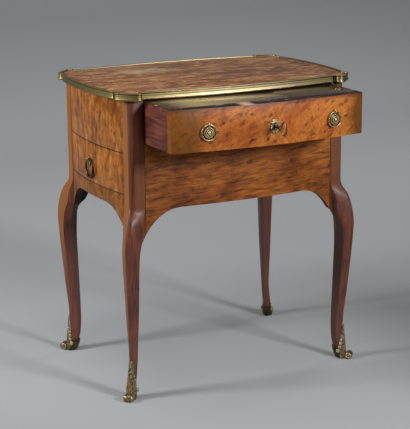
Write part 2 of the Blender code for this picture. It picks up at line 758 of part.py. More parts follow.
def build_runners(wood, body):
    """Guides beside the drawers, kickers over the front drawer and a stop behind each drawer."""
    deep = OPENING_Y - FIT_GAP
    wide = OPENING_X - FIT_GAP
    guide_out_x = SIDE_FACE_X - PANEL_THICKNESS - FIT_GAP
    guide_out_y = FRONT_FACE_Y - PANEL_THICKNESS - FIT_GAP
    floor = DUST_BOARD_TOP + FIT_GAP
    for place, sx in (("left", -1), ("right", 1)):
        xs = sorted((sx * OPENING_X, sx * guide_out_x))
        piece("drawer_guide_" + place, box((xs[0], -deep, floor), (xs[1], deep, floor + GUIDE_HEIGHT)), wood, body)
        xs = sorted((sx * (DRAWER_X - DRAWER_SIDE_THICKNESS), sx * guide_out_x))
        low = DRAWER_TOP + 0.001
        high = UNDERSIDE - FIT_GAP
        piece("drawer_kicker_" + place, box((xs[0], -deep, low), (xs[1], deep, high)), wood, body)
    stop = DRAWER_END + FIT_GAP
    half = STOP_WIDTH / 2
    piece("drawer_stop", box((-half, stop, floor), (half, stop + STOP_LENGTH, floor + STOP_HEIGHT)), wood, body)
    floor = BOTTOM_BOARD_TOP + FIT_GAP
    for place, sy in (("front", -1), ("back", 1)):
        ys = sorted((sy * (OPENING_Y - FIT_GAP), sy * guide_out_y))
        made = box((-wide, ys[0], floor), (wide, ys[1], floor + SIDE_GUIDE_HEIGHT))
        piece("side_drawer_guide_" + place, made, wood, body)
    stop = side_drawer_end() + FIT_GAP
    made = box((stop, -half, floor), (stop + STOP_LENGTH, half, floor + STOP_HEIGHT))
    piece("side_drawer_stop", made, wood, body)


# Front drawer

def lock_middle_y():
    return DRAWER_FRONT_BACK - LOCK_DEPTH / 2


def drawer_side_outline(outer, inward):
    """Section of a drawer side: rabbet for the bottom below, rabbet for the slides along the top."""
    inner = outer + inward * DRAWER_SIDE_THICKNESS
    rabbet = inner - inward * RABBET_WIDTH
    groove = inner - inward * GROOVE_DEPTH
    ledge = DRAWER_BOTTOM + DRAWER_BOTTOM_THICKNESS + 2 * FIT_GAP
    low = SLIDE_BOTTOM - GROOVE_CLEARANCE
    return [
        (outer, DRAWER_BOTTOM), (rabbet, DRAWER_BOTTOM), (rabbet, ledge), (inner, ledge), (inner, low),
        (groove, low), (groove, DRAWER_TOP), (outer, DRAWER_TOP),
    ]


def build_front_drawer(front_wood, side_wood, leaf_wood, inner_wood, body, slide, lid):
    stations = spread(-DRAWER_X, DRAWER_X, 15)
    rings = []
    for x in stations:
        face = -front_face(x)
        corners = ((face, DRAWER_BOTTOM), (face, DRAWER_TOP))
        corners += ((DRAWER_FRONT_BACK, DRAWER_TOP), (DRAWER_FRONT_BACK, DRAWER_BOTTOM))
        rings.append([Vector((x, y, z)) for y, z in corners])
    front = piece("drawer_front", loft(rings), front_wood, body)
    wide = LOCK_WIDTH / 2 + FIT_GAP
    low = KEY_LEVEL - LOCK_BELOW_KEY - FIT_GAP
    pocket = box((-wide, DRAWER_FRONT_BACK - LOCK_DEPTH - FIT_GAP, low), (wide, DRAWER_FRONT_BACK + 0.01, 1.0))
    combine(front, pocket, "DIFFERENCE", body)
    combine(front, keyhole(-FRONT_CROWN_Y - 0.01, DRAWER_FRONT_BACK), "DIFFERENCE", body)
    start = DRAWER_FRONT_BACK + FIT_GAP
    for place, sx in (("left", -1), ("right", 1)):
        outline = [Vector((x, start, z)) for x, z in drawer_side_outline(sx * DRAWER_X, -sx)]
        piece("drawer_side_" + place, prism(outline, Vector((0, DRAWER_END - start, 0))), side_wood, body)
    inside = DRAWER_X - DRAWER_SIDE_THICKNESS
    bottom_half = inside + RABBET_WIDTH - FIT_GAP
    low = DRAWER_BOTTOM + FIT_GAP
    floor = low + DRAWER_BOTTOM_THICKNESS
    piece("drawer_bottom", box((-bottom_half, start, low), (bottom_half, DRAWER_END, floor)), inner_wood, body)
    low = floor + FIT_GAP
    high = SLIDE_BOTTOM - FIT_GAP
    back_face = DRAWER_END - DRAWER_BACK_THICKNESS
    half = inside - FIT_GAP
    piece("drawer_back", box((-half, back_face, low), (half, DRAWER_END, high)), inner_wood, body)
    half = DIVIDER_THICKNESS / 2
    made = box((DIVIDER_X - half, start, low), (DIVIDER_X + half, back_face - FIT_GAP, high))
    piece("drawer_divider", made, inner_wood, body)
    reach = inside + GROOVE_DEPTH - GROOVE_CLEARANCE
    made = box((-reach, start, SLIDE_BOTTOM), (DIVIDER_X - SEAM_GAP / 2, DRAWER_END, SLIDE_TOP))
    piece("writing_slide", made, leaf_wood, slide)
    made = box((DIVIDER_X + SEAM_GAP / 2, start, SLIDE_BOTTOM), (reach, DRAWER_END, SLIDE_TOP))
    piece("compartment_lid", made, leaf_wood, lid)


def keyhole(near, far):
    """Round hole with a slot below it, along Y."""
    points = [Vector((p.x, near, KEY_LEVEL + p.y)) for p in arc(
        Vector((0, 0)), KEY_HOLE_RADIUS, math.radians(-55), math.radians(235), 13)]
    half = KEY_BIT_THICKNESS / 2 + 0.0004
    foot = KEY_LEVEL - KEY_BIT_HEIGHT - 0.001
    points += [Vector((-half, near, foot)), Vector((half, near, foot))]
    return prism(points, Vector((0, far - near, 0)))


def build_lock(steel, brass, body, bolt, key):
    wide = LOCK_WIDTH / 2
    front = DRAWER_FRONT_BACK - LOCK_DEPTH
    low = KEY_LEVEL - LOCK_BELOW_KEY
    case = piece("lock_case", box((-wide, front, low), (wide, DRAWER_FRONT_BACK, DRAWER_TOP)), steel, body)
    wall = LOCK_WALL
    inside = box((wall - wide, front + wall, low + wall),
                 (wide - wall, DRAWER_FRONT_BACK - wall, DRAWER_TOP - wall))
    combine(case, inside, "DIFFERENCE", body)
    combine(case, keyhole(front - 0.01, front + 1.5 * wall), "DIFFERENCE", body)
    middle = lock_middle_y()
    half = BOLT_THICKNESS / 2
    gap = BOLT_CLEARANCE
    slot = box((-BOLT_WIDTH / 2 - gap, middle - half - gap, DRAWER_TOP - 2 * wall),
               (BOLT_WIDTH / 2 + gap, middle + half + gap, DRAWER_TOP + 0.01))
    combine(case, slot, "DIFFERENCE", body)
    top = DRAWER_TOP - gap
    made = box((-BOLT_WIDTH / 2, middle - half, top - BOLT_LENGTH), (BOLT_WIDTH / 2, middle + half, top))
    piece("lock_bolt", made, steel, bolt)
    build_key(steel, key)
    seat = -FRONT_CROWN_Y - FIT_GAP
    plan = arc(Vector((0, 0)), 1.0, 0, 2 * math.pi, 25)[:-1]
    outline = []
    for p in plan:
        point = 1 + 0.12 * max(0.0, -p.y) ** 3
        outline.append(Vector((p.x * ESCUTCHEON_WIDTH / 2, seat, KEY_LEVEL + p.y * point * ESCUTCHEON_HEIGHT / 2)))
    shield = piece("key_escutcheon", prism(outline, Vector((0, -ESCUTCHEON_THICKNESS, 0))), brass, body)
    combine(shield, keyhole(seat + 0.002, seat - 0.01), "DIFFERENCE", body)


def build_key(steel, key):
    """Key with a shank along Y, an oval bow outside and a bit inside the lock."""
    inner_end = lock_middle_y() + KEY_BIT_LENGTH / 2
    outer_end = -(FRONT_CROWN_Y + KEY_SHANK_REACH)
    shank = KEY_SHANK_RADIUS
    level = Matrix.Translation((0, 0, KEY_LEVEL))
    turn = level @ Matrix.Rotation(KEY_REST_TURN, 4, "Y")
    bow_turn = level @ Matrix.Rotation(KEY_REST_TURN + KEY_BOW_TURN, 4, "Y")
    profile = [
        (0.7 * shank, inner_end), (shank, inner_end - 0.001), (shank, outer_end + 0.009),
        (1.5 * shank, outer_end + 0.007), (1.5 * shank, outer_end + 0.005), (shank, outer_end + 0.003),
        (0.9 * shank, outer_end - 0.001),
    ]
    made = piece("key", turned(profile, 12), steel, key, turn)
    bow = wire_ring(KEY_BOW_WIDTH / 2 - KEY_BOW_WIRE, KEY_BOW_LENGTH / 2 - KEY_BOW_WIRE, KEY_BOW_WIRE, 20, 8)
    stand = Matrix.Translation((0, outer_end - KEY_BOW_LENGTH / 2, 0))
    lay = Matrix.Rotation(math.pi / 2, 4, "X")
    across = Matrix.Rotation(math.pi / 2, 4, "Y")
    combine(made, bow, "UNION", key, bow_turn @ across @ stand @ lay)
    half = KEY_BIT_THICKNESS / 2
    bit = box((-half, inner_end - KEY_BIT_LENGTH, -KEY_BIT_HEIGHT), (half, inner_end - 0.0008, 0))
    combine(made, bit, "UNION", key, turn)


# Pulls

def pull_place(point, outward):
    """Frame of a pull: X along the face, Y out of it, Z up, at a point of the face."""
    along = outward.cross(Vector((0, 0, 1)))
    turn = Matrix((along, outward, Vector((0, 0, 1)))).transposed().to_4x4()
    return Matrix.Translation(point) @ turn


def front_pull_place(x):
    slope = 2 * FRONT_BOW * x / OPENING_X ** 2
    return pull_place(Vector((x, -front_face(x), KEY_LEVEL)), Vector((slope, -1, 0)).normalized())


def side_pull_place():
    level = SIDE_DRAWER_BOTTOM + SIDE_PULL_LEVEL
    return pull_place(Vector((-SIDE_CROWN_X, 0, level)), Vector((-1, 0, 0)))


def rosette(name, place, radius, boss, eye_rise, look, body):
    """Turned back plate and stepped boss, with an eye that the ring hangs in."""
    seat = FIT_GAP
    tall = ROSETTE_BOSS_HEIGHT
    profile = [
        (0.96 * radius, seat), (radius, seat + 0.0008), (0.92 * radius, seat + 0.0018),
        (1.12 * boss, seat + 0.0020), (boss, 0.45 * tall), (0.97 * boss, 0.60 * tall),
        (0.78 * boss, 0.66 * tall), (0.74 * boss, 0.80 * tall), (0.46 * boss, 0.86 * tall),
        (0.30 * boss, tall), (0.12 * boss, 1.04 * tall),
    ]
    made = piece(name, turned(profile, 20), look, body, place)
    reach = PULL_EYE_RADIUS + PULL_EYE_WALL
    half = PULL_EYE_WIDTH / 2
    at = place @ Matrix.Translation((0, PULL_STANDOFF, eye_rise))
    near, far = sorted((0.7 * math.copysign(radius, eye_rise), eye_rise))
    neck = box((-0.9 * half, 0.001, near), (0.9 * half, PULL_STANDOFF, far))
    combine(made, neck, "UNION", body, place)
    combine(made, rod_x(reach, -half, half, 16), "UNION", body, at)
    combine(made, rod_x(PULL_EYE_RADIUS, -0.01, 0.01, 16), "DIFFERENCE", body, at)


def pull_ring(name, place, radius, eye_rise, look, ring):
    at = place @ Matrix.Translation((0, PULL_STANDOFF, eye_rise - radius))
    piece(name, wire_ring(radius, radius, PULL_WIRE, 28, 10), look, ring, at)


# Side drawer

def side_drawer_start():
    """Back face of the side drawer's front, the same distance behind its ends as its thickness."""
    return -(SIDE_FACE_X - DRAWER_FRONT_THICKNESS)


def side_drawer_end():
    return side_drawer_start() + SIDE_DRAWER_LENGTH


def build_side_drawer(front_wood, inner_wood, body):
    half = OPENING_Y - SIDE_DRAWER_GAP - FIT_GAP
    rings = []
    for y in spread(-half, half, 11):
        face = -side_face(y)
        back = side_drawer_start()
        corners = ((face, SIDE_DRAWER_BOTTOM), (face, SIDE_DRAWER_TOP))
        corners += ((back, SIDE_DRAWER_TOP), (back, SIDE_DRAWER_BOTTOM))
        rings.append([Vector((x, y, z)) for x, z in corners])
    piece("side_drawer_front", loft(rings), front_wood, body)
    start = side_drawer_start() + FIT_GAP
    end = side_drawer_end()
    high = SIDE_DRAWER_TOP - SIDE_DRAWER_WALL_DROP
    ledge = SIDE_DRAWER_BOTTOM + DRAWER_BOTTOM_THICKNESS + 2 * FIT_GAP
    for place, sy in (("front", -1), ("back", 1)):
        outer = sy * half
        inner = sy * (half - SIDE_DRAWER_WALL)
        rabbet = sy * (half - SIDE_DRAWER_WALL + RABBET_WIDTH)
        section = [
            (outer, SIDE_DRAWER_BOTTOM), (rabbet, SIDE_DRAWER_BOTTOM), (rabbet, ledge),
            (inner, ledge), (inner, high), (outer, high),
        ]
        outline = [Vector((start, y, z)) for y, z in section]
        piece("side_drawer_side_" + place, prism(outline, Vector((end - start, 0, 0))), inner_wood, body)
    deep = half - SIDE_DRAWER_WALL + RABBET_WIDTH - FIT_GAP
    low = SIDE_DRAWER_BOTTOM + FIT_GAP
    floor = low + DRAWER_BOTTOM_THICKNESS
    piece("side_drawer_bottom", box((start, -deep, low), (end, deep, floor)), inner_wood, body)
    deep = half - SIDE_DRAWER_WALL - FIT_GAP
    made = box((end - DRAWER_BACK_THICKNESS, -deep, floor + FIT_GAP), (end, deep, high))
    piece("side_drawer_back", made, inner_wood, body)


def main():
    for old in list(bpy.data.objects):
        bpy.data.objects.remove(old)
    mahogany = material("mahogany_posts", "7d4426", 0.32)
    figured = material("plum_pudding_mahogany", "b06a34", 0.30)
    golden = material("faded_mahogany_sides", "a9713a", 0.32)
    rosy = material("rosy_mahogany_top", "94654c", 0.28)
    purple = material("drawer_side_wood", "6d3b35", 0.45)
    leaf = material("polished_dark_leaf", "4a3a2c", 0.18)
    oak = material("inner_oak", "a88455", 0.6)
    brass = material("polished_brass", "c9b06a", 0.25, 1.0)
    bronze = material("gilt_bronze", "a8834a", 0.35, 1.0)
    steel = material("lock_steel", "6c675e", 0.4, 1.0)

    back_reach = max([TOP_Y] + [point.y for ring in toe_scroll(1, 1) for point in ring])
    front_reach = DRAWER_OPEN + FRONT_CROWN_Y + KEY_REACH
    table = Body("table", (0, 0, 0), shift=(0, (front_reach - back_reach) / 2, 0))
    front_drawer = Body("front_drawer", (0, 0, 0), table, (0, -DRAWER_OPEN, 0))
    side_drawer = Body("side_drawer", (0, 0, 0), table)
    slide = Body("writing_slide_axis", (0, DRAWER_FRONT_BACK, SLIDE_TOP), front_drawer)
    lid = Body("compartment_lid_axis", (DIVIDER_X, DRAWER_FRONT_BACK, SLIDE_TOP), front_drawer)
    bolt = Body("lock_bolt_axis", (0, lock_middle_y(), DRAWER_TOP), front_drawer)
    key = Body("key_axis", (0, -FRONT_CROWN_Y, KEY_LEVEL), front_drawer)

    build_carcass(mahogany, figured, golden, oak, table)
    for place, sx, sy in (("front_left", -1, -1), ("front_right", 1, -1), ("back_left", -1, 1), ("back_right", 1, 1)):
        sabot("sabot_" + place, sx, sy, bronze, table)
    build_top(rosy, brass, table)
    build_front_drawer(figured, purple, leaf, oak, front_drawer, slide, lid)
    build_lock(steel, brass, front_drawer, bolt, key)
    for name, x in (("left", -PULL_X), ("right", PULL_X)):
        place = front_pull_place(x)
        rosette("rosette_" + name, place, ROSETTE_RADIUS, ROSETTE_BOSS_RADIUS, PULL_RADIUS, brass, front_drawer)
        pivot = place @ Vector((0, PULL_STANDOFF, PULL_RADIUS))
        ring = Body("pull_ring_" + name + "_axis", pivot, front_drawer)
        pull_ring("pull_ring_" + name, place, PULL_RADIUS, PULL_RADIUS, brass, ring)
    build_side_drawer(golden, oak, side_drawer)
    place = side_pull_place()
    rosette("side_pull_plate", place, SIDE_ROSETTE_RADIUS, SIDE_BOSS_RADIUS, SIDE_PULL_RISE, bronze, side_drawer)
    pivot = place @ Vector((0, PULL_STANDOFF, SIDE_PULL_RISE))
    ring = Body("side_pull_ring_axis", pivot, side_drawer)
    pull_ring("side_pull_ring", place, SIDE_PULL_RADIUS, SIDE_PULL_RISE, bronze, ring)


main()
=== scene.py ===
"""Looks of a small writing table: polished mahogany, brass rim, bronze sabots, open drawer with its key."""

import json
import math

import bpy
from mathutils import Matrix, Vector


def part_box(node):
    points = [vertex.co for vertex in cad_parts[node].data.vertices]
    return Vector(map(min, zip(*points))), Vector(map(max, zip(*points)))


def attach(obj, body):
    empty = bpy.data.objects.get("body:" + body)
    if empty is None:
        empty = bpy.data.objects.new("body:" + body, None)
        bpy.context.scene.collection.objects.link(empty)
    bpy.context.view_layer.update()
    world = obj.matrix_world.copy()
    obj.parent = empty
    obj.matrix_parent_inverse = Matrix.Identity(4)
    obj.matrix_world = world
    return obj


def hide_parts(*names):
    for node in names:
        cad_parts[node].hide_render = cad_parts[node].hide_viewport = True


bl_info = {
    "name": "Writing table looks",
    "version": (1, 0, 0),
    "blender": (4, 5, 0),
    "location": "View3D > Sidebar > Writing table",
    "description": "Veneers, brass and bronze for the writing table, round its CAD frame",
    "category": "Object",
}

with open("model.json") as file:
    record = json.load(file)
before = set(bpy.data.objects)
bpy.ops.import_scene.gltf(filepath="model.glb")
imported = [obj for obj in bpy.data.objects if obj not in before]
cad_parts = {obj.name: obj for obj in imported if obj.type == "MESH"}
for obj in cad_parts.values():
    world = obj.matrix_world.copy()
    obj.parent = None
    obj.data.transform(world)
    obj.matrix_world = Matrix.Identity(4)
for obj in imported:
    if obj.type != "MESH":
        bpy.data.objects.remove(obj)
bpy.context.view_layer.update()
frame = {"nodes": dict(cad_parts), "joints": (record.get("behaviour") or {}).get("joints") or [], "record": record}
BODY_OF = {node: body for body, nodes in frame["record"]["behaviour"]["bodies"].items() for node in nodes}
CORNERS = {"front_left": (-1, -1), "front_right": (1, -1), "back_left": (-1, 1), "back_right": (1, 1)}
LOOKS = {}  # materials by name, made by the operators
MM = 0.001
UP = Vector((0, 0, 1))

# Places on the table in metres; the front drawer opens towards -Y and the side drawer towards -X.
MIDDLE = Vector((0, 0.093, 0))
FOOT_X, FOOT_Y = 0.2815, 0.1945
RIM_FOOT, RIM_TOP, TOP_LEVEL = 0.7025, 0.7200, 0.719
DRAWER_EDGE_LEVEL, SIDE_DRAWER_LEVEL = 0.69, 0.5302
KEY_LEVEL, KEY_BOW_Y = 0.6455, -0.284
SHIN, KNEE = 0.12, 0.47

# Where the dirt of hands starts and is full on the drawer's front, and where the dark line of the side drawer
# does so above and below its middle.
HANDLED, BORDER = (0.6885, 0.6970), (0.0456, 0.0470)

# How far the inner tips of the panels' arches follow the legs, outwards and down.
TIP_OUT, TIP_DROP = 19 * MM, 12 * MM

# The leg's sideways splay at the floor, the height where it starts and its power; the foot's height, the four
# handles of its front curve, and how far the sabot's shell stands off it at the sole and less at the top.
SPLAY, SPLAY_START, SPLAY_POWER = 0.0095, 0.3, 1.3
FOOT_TALL, FOOT_CURVE = 0.09, (0.0100, 0.0078, 0.0028, 0.0035)
SHELL_STAND, SHELL_TAPER = 0.0038, 0.0016

# Pulls: turned profiles as radius and height in mm; the rings' wire, the eyes' radius and wire, how far the
# eyes stand off the drawer and above the boss's middle, the rings' radii, and the side ring's swelling.
ROSETTE = [
    (0.0, 0.3), (14.2, 0.3), (14.2, 1.4), (13.6, 2.0), (12.9, 1.9), (12.4, 2.3), (12.2, 4.4), (11.4, 5.6),
    (10.2, 5.7), (9.2, 4.4), (8.5, 4.3), (8.0, 6.0), (7.2, 7.2), (6.0, 7.3), (5.0, 6.0), (4.4, 6.0),
    (4.1, 7.9), (3.0, 9.2), (1.6, 9.7), (0.0, 9.8)]
SIDE_BOSS = [
    (0.0, 0.3), (8.5, 0.3), (8.4, 1.3), (7.2, 2.1), (6.4, 2.2), (6.0, 4.0), (5.2, 5.6), (3.8, 6.6),
    (3.0, 6.8), (2.6, 8.0), (1.4, 9.0), (0.0, 9.2)]
RING_WIRE, EYE_RADIUS, EYE_WIRE, EYE_STAND = 2.2 * MM, 3.75 * MM, 1.1 * MM, 4.9 * MM
FRONT_EYE, SIDE_EYE = 17.3 * MM, 11.8 * MM
FRONT_RING, SIDE_RING = 17.3 * MM, 21.5 * MM
SWELL_LEVELS, SWELL = (4 * MM, -2 * MM, -8 * MM, -16 * MM), 0.3 * MM


def linear(colour):
    """An sRGB hex colour as linear red, green and blue."""
    channels = [int(colour[i:i + 2], 16) / 255 for i in (1, 3, 5)]
    return tuple(c / 12.92 if c <= 0.04045 else ((c + 0.055) / 1.055) ** 2.4 for c in channels)


def colour_property(name, description, colour):
    return bpy.props.FloatVectorProperty(
        name=name, description=description, subtype="COLOR", size=3, min=0, max=1, default=linear(colour))


def length_property(name, description, length):
    return bpy.props.FloatProperty(
        name=name, description=description, subtype="DISTANCE", unit="LENGTH", min=0, default=length * MM)


def power_property(name, description, watts):
    return bpy.props.FloatProperty(name=name, description=description, unit="POWER", min=0, default=watts)


class TableWoods(bpy.types.PropertyGroup):
    """Colours and edges of the wooden pieces."""

    posts: colour_property("Posts", "Red mahogany of posts and legs", "#734132")
    front: colour_property("Front", "Plum-pudding mahogany of the front", "#d07a30")
    sides: colour_property("Sides", "Faded golden mahogany of the sides", "#b16a24")
    top: colour_property("Top", "Rosy mahogany of the top", "#784b33")
    lining: colour_property("Linings", "Oak inside the carcass and drawers", "#9d7a4d")
    ease: length_property("Eased edges", "Width of the worn edges of veneered pieces", 0.7)
    sink: length_property("Sunk top", "How far wear has lowered the top inside its rim", 2.2)


class TableMetals(bpy.types.PropertyGroup):
    """Colours of the brass, bronze and steel."""

    brass: colour_property("Brass", "Polished brass of the rim", "#a09070")
    tarnish: colour_property("Tarnish", "Olive tarnish in the brass's hollows", "#8a7a4c")
    bronze: colour_property("Bronze", "Worn gilt bronze of sabots and side pull", "#dcc79c")
    patina: colour_property("Patina", "Dark patina in the bronze's hollows", "#2a2116")
    steel: colour_property("Steel", "Aged steel of lock and key", "#5b564c")


class TableStage(bpy.types.PropertyGroup):
    """Floor and studio light."""

    floor: colour_property("Floor", "Pale grey studio floor", "#b4b6b8")
    key: power_property("Front light", "Strength of the light in front", 110.0)
    side: power_property("Left light", "Strength of the light on the left", 54.0)


# Selection and mesh helpers

def only(piece):
    """Leave one object selected and active."""
    bpy.ops.object.select_all(action="DESELECT")
    piece.select_set(True)
    bpy.context.view_layer.objects.active = piece


def edit(piece):
    """Open a piece in edit mode with all its vertices selected."""
    only(piece)
    bpy.ops.object.mode_set(mode="EDIT")
    bpy.ops.mesh.select_mode(type="VERT")
    bpy.ops.mesh.select_all(action="SELECT")


def leave():
    bpy.ops.object.mode_set(mode="OBJECT")


def pick(piece, chosen):
    """Open a piece in edit mode with only those vertices selected that a test chooses."""
    edit(piece)
    bpy.ops.mesh.select_all(action="DESELECT")
    leave()
    for vertex in piece.data.vertices:
        vertex.select = chosen(vertex)
    bpy.ops.object.mode_set(mode="EDIT")


def smooth(piece, degrees):
    only(piece)
    bpy.ops.object.shade_smooth_by_angle(angle=math.radians(degrees))
    return piece


def link(name, data):
    piece = bpy.data.objects.new(name, data)
    bpy.context.scene.collection.objects.link(piece)
    return piece


def close_up(merge):
    """Merge doubled points of a mesh in edit mode and turn its faces outwards."""
    bpy.ops.mesh.remove_doubles(threshold=merge)
    bpy.ops.mesh.normals_make_consistent(inside=False)
    leave()


def edge_angles(mesh):
    """Each edge with its ends, the angle between its faces, and whether a many-sided end face meets it."""
    sides = {}
    for face in mesh.polygons:
        for key in face.edge_keys:
            sides.setdefault(key, []).append(face)
    for line in mesh.edges:
        faces = sides[line.key]
        first, last = (mesh.vertices[i].co for i in line.vertices)
        angle = faces[0].normal.angle(faces[1].normal, 0.0) if len(faces) == 2 else math.pi
        yield line, first, last, angle, any(len(face.vertices) > 6 for face in faces)


def merged_copy(name, node):
    """A CAD node's shape as one welded mesh, so that it can be eased and shaded smoothly."""
    piece = link(name, frame["nodes"][node].data.copy())
    piece.data.materials.clear()
    edit(piece)
    bpy.ops.mesh.customdata_custom_splitnormals_clear()
    bpy.ops.mesh.remove_doubles(threshold=0.02 * MM)
    bpy.ops.mesh.dissolve_limited(angle_limit=math.radians(0.2), use_dissolve_boundaries=False)
    bpy.ops.mesh.tris_convert_to_quads(face_threshold=math.radians(12), shape_threshold=math.radians(60))
    leave()
    return piece


def bevel(piece, width, segments, **limit):
    """Round the edges that a limit chooses."""
    only(piece)
    bpy.ops.object.modifier_add(type="BEVEL")
    edge = piece.modifiers[-1]
    edge.width = width
    edge.segments = segments
    for name, value in limit.items():
        setattr(edge, name, value)
    bpy.ops.object.modifier_apply(modifier=edge.name)


def ease_edges(piece, width, degrees=38):
    """Round a piece's hard edges a little, as hands and polish do."""
    bevel(piece, width, 2, limit_method="ANGLE", angle_limit=math.radians(degrees))
    smooth(piece, 34)


def join(pieces, name):
    """Several meshes as one object."""
    bpy.ops.object.select_all(action="DESELECT")
    for piece in pieces:
        piece.select_set(True)
    bpy.context.view_layer.objects.active = pieces[0]
    bpy.ops.object.join()
    made = bpy.context.view_layer.objects.active
    made.name = name
    return made


def move(piece, matrix):
    """Place a mesh made at the origin, and turn its faces out again where the matrix mirrors it."""
    piece.data.transform(matrix)
    if matrix.determinant() < 0:
        edit(piece)
        bpy.ops.mesh.flip_normals()
        leave()


def lathe(profile, steps):
    """A turned boss about Z from its profile in mm, bright on its rounds and tarnished in its grooves."""
    points = [(radius * MM, height * MM) for radius, height in profile]
    mesh = bpy.data.meshes.new("boss")
    mesh.from_pydata([(r, 0, z) for r, z in points], [(i, i + 1) for i in range(len(points) - 1)], [])
    piece = link("boss", mesh)
    edit(piece)
    bpy.ops.mesh.spin(steps=steps, angle=2 * math.pi, center=(0, 0, 0), axis=UP)
    bpy.ops.mesh.select_all(action="SELECT")
    close_up(0.005 * MM)
    smooth(piece, 40)
    finish_with(piece, "brass")
    grooves = [radius for (_, before), (radius, here), (_, after) in zip(points, points[1:], points[2:])
               if here < before and here <= after or here <= before and here < after]
    finish_faces(piece, "tarnish", lambda middle, normal: any(
        abs(middle.xy.length - radius) < 0.35 * MM for radius in grooves))
    return piece


def torus(major, minor, around, across):
    bpy.ops.mesh.primitive_torus_add(
        major_radius=major, minor_radius=minor, major_segments=around, minor_segments=across)
    return smooth(bpy.context.view_layer.objects.active, 60)


def bead(radius, place, scale=(1, 1, 1)):
    bpy.ops.mesh.primitive_ico_sphere_add(subdivisions=2, radius=radius)
    piece = bpy.context.view_layer.objects.active
    piece.data.transform(Matrix.Translation(place) @ Matrix.Diagonal((*scale, 1)))
    return smooth(piece, 60)


def tapered_rod(points, radii):
    """A tapering round rod along points."""
    path = bpy.data.curves.new("vein", "CURVE")
    path.dimensions = "3D"
    path.bevel_depth = 1.0
    path.bevel_resolution = 3
    path.use_fill_caps = True
    spline = path.splines.new("BEZIER")
    spline.bezier_points.add(len(points) - 1)
    for knot, point, radius in zip(spline.bezier_points, points, radii):
        knot.co = point
        knot.radius = radius
        knot.handle_left_type = knot.handle_right_type = "AUTO"
    spline.resolution_u = 6
    only(link("vein", path))
    bpy.ops.object.convert(target="MESH")
    piece = bpy.context.view_layer.objects.active
    edit(piece)
    close_up(0.005 * MM)
    return smooth(piece, 60)


def finish_with(piece, look):
    piece.data.materials.clear()
    piece.data.materials.append(LOOKS[look])


def finish_faces(piece, look, chosen):
    """Give a second material to the faces that a test of their middle and normal chooses."""
    piece.data.materials.append(LOOKS[look])
    for face in piece.data.polygons:
        if chosen(face.center, face.normal):
            face.material_index = len(piece.data.materials) - 1


def dress(piece, node, look=None):
    """Let a finished piece stand for its CAD node, and give it a material unless it has its own."""
    if look:
        finish_with(piece, look)
    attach(piece, BODY_OF[node])
    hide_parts(node)


# Materials

def feed(node, inputs):
    """Set a node's inputs, by name or in their order: sockets are linked, colours are hex or linear."""
    for name, value in inputs.items() if isinstance(inputs, dict) else enumerate(inputs):
        socket = node.inputs[name]
        if isinstance(value, bpy.types.NodeSocket):
            node.id_data.links.new(value, socket)
        elif socket.type == "RGBA":
            socket.default_value = opaque(value)
        else:
            socket.default_value = value


def opaque(colour):
    return (*(linear(colour) if isinstance(colour, str) else colour), 1)


def add(tree, kind, inputs=(), stops=(), out=0, **settings):
    """Add a shader node with its settings, colour stops and inputs, and give one of its outputs."""
    node = tree.nodes.new("ShaderNode" + kind)
    for name, value in settings.items():
        setattr(node, name, value)
    if stops:
        ramp = node.color_ramp
        while len(ramp.elements) < len(stops):
            ramp.elements.new(0.5)
        for element, (position, colour) in zip(ramp.elements, stops):
            element.position = position
            element.color = opaque(colour)
    feed(node, inputs)
    return node.outputs[out]


def start_material(name):
    look = bpy.data.materials.new(name)
    look.use_nodes = True
    return look, look.node_tree, add(look.node_tree, "TexCoord", out="Object")


def surface(look, base, rough, relief=None, more=None):
    """Give a material its colour, roughness and relief, as a height with its strength and depth in mm."""
    inputs = {"Base Color": base, "Roughness": rough, **(more or {})}
    if relief:
        height, strength, depth = relief
        inputs["Normal"] = add(
            look.node_tree, "Bump", {"Height": height, "Strength": strength, "Distance": depth * MM})
    feed(look.node_tree.nodes["Principled BSDF"], inputs)
    return look


def shade(colour, factor):
    return tuple(min(1.0, c * factor) for c in colour)


def mixed(a, b, share):
    return tuple(x + (y - x) * share for x, y in zip(a, b))


def stain(tree, base, value, start, end, share, colour):
    """Lay a colour over the base where a value runs from start to end, up to a share."""
    cover = add(tree, "MapRange", (value, start, end, 0, share))
    return add(tree, "MixRGB", (cover, base, colour))


def grain(tree, coords, size, detail, rough, run, turn=(0, 0, 0), shift=(0, 0, 0), bend=0):
    """Noise of some mm, stretched along the wood's run and laid over by a turn."""
    lie = add(tree, "Mapping", (coords, shift, turn, run), vector_type="TEXTURE")
    return add(tree, "TexNoise", {
        "Vector": lie, "Scale": 1000 / size, "Detail": detail, "Roughness": rough, "Distortion": bend})


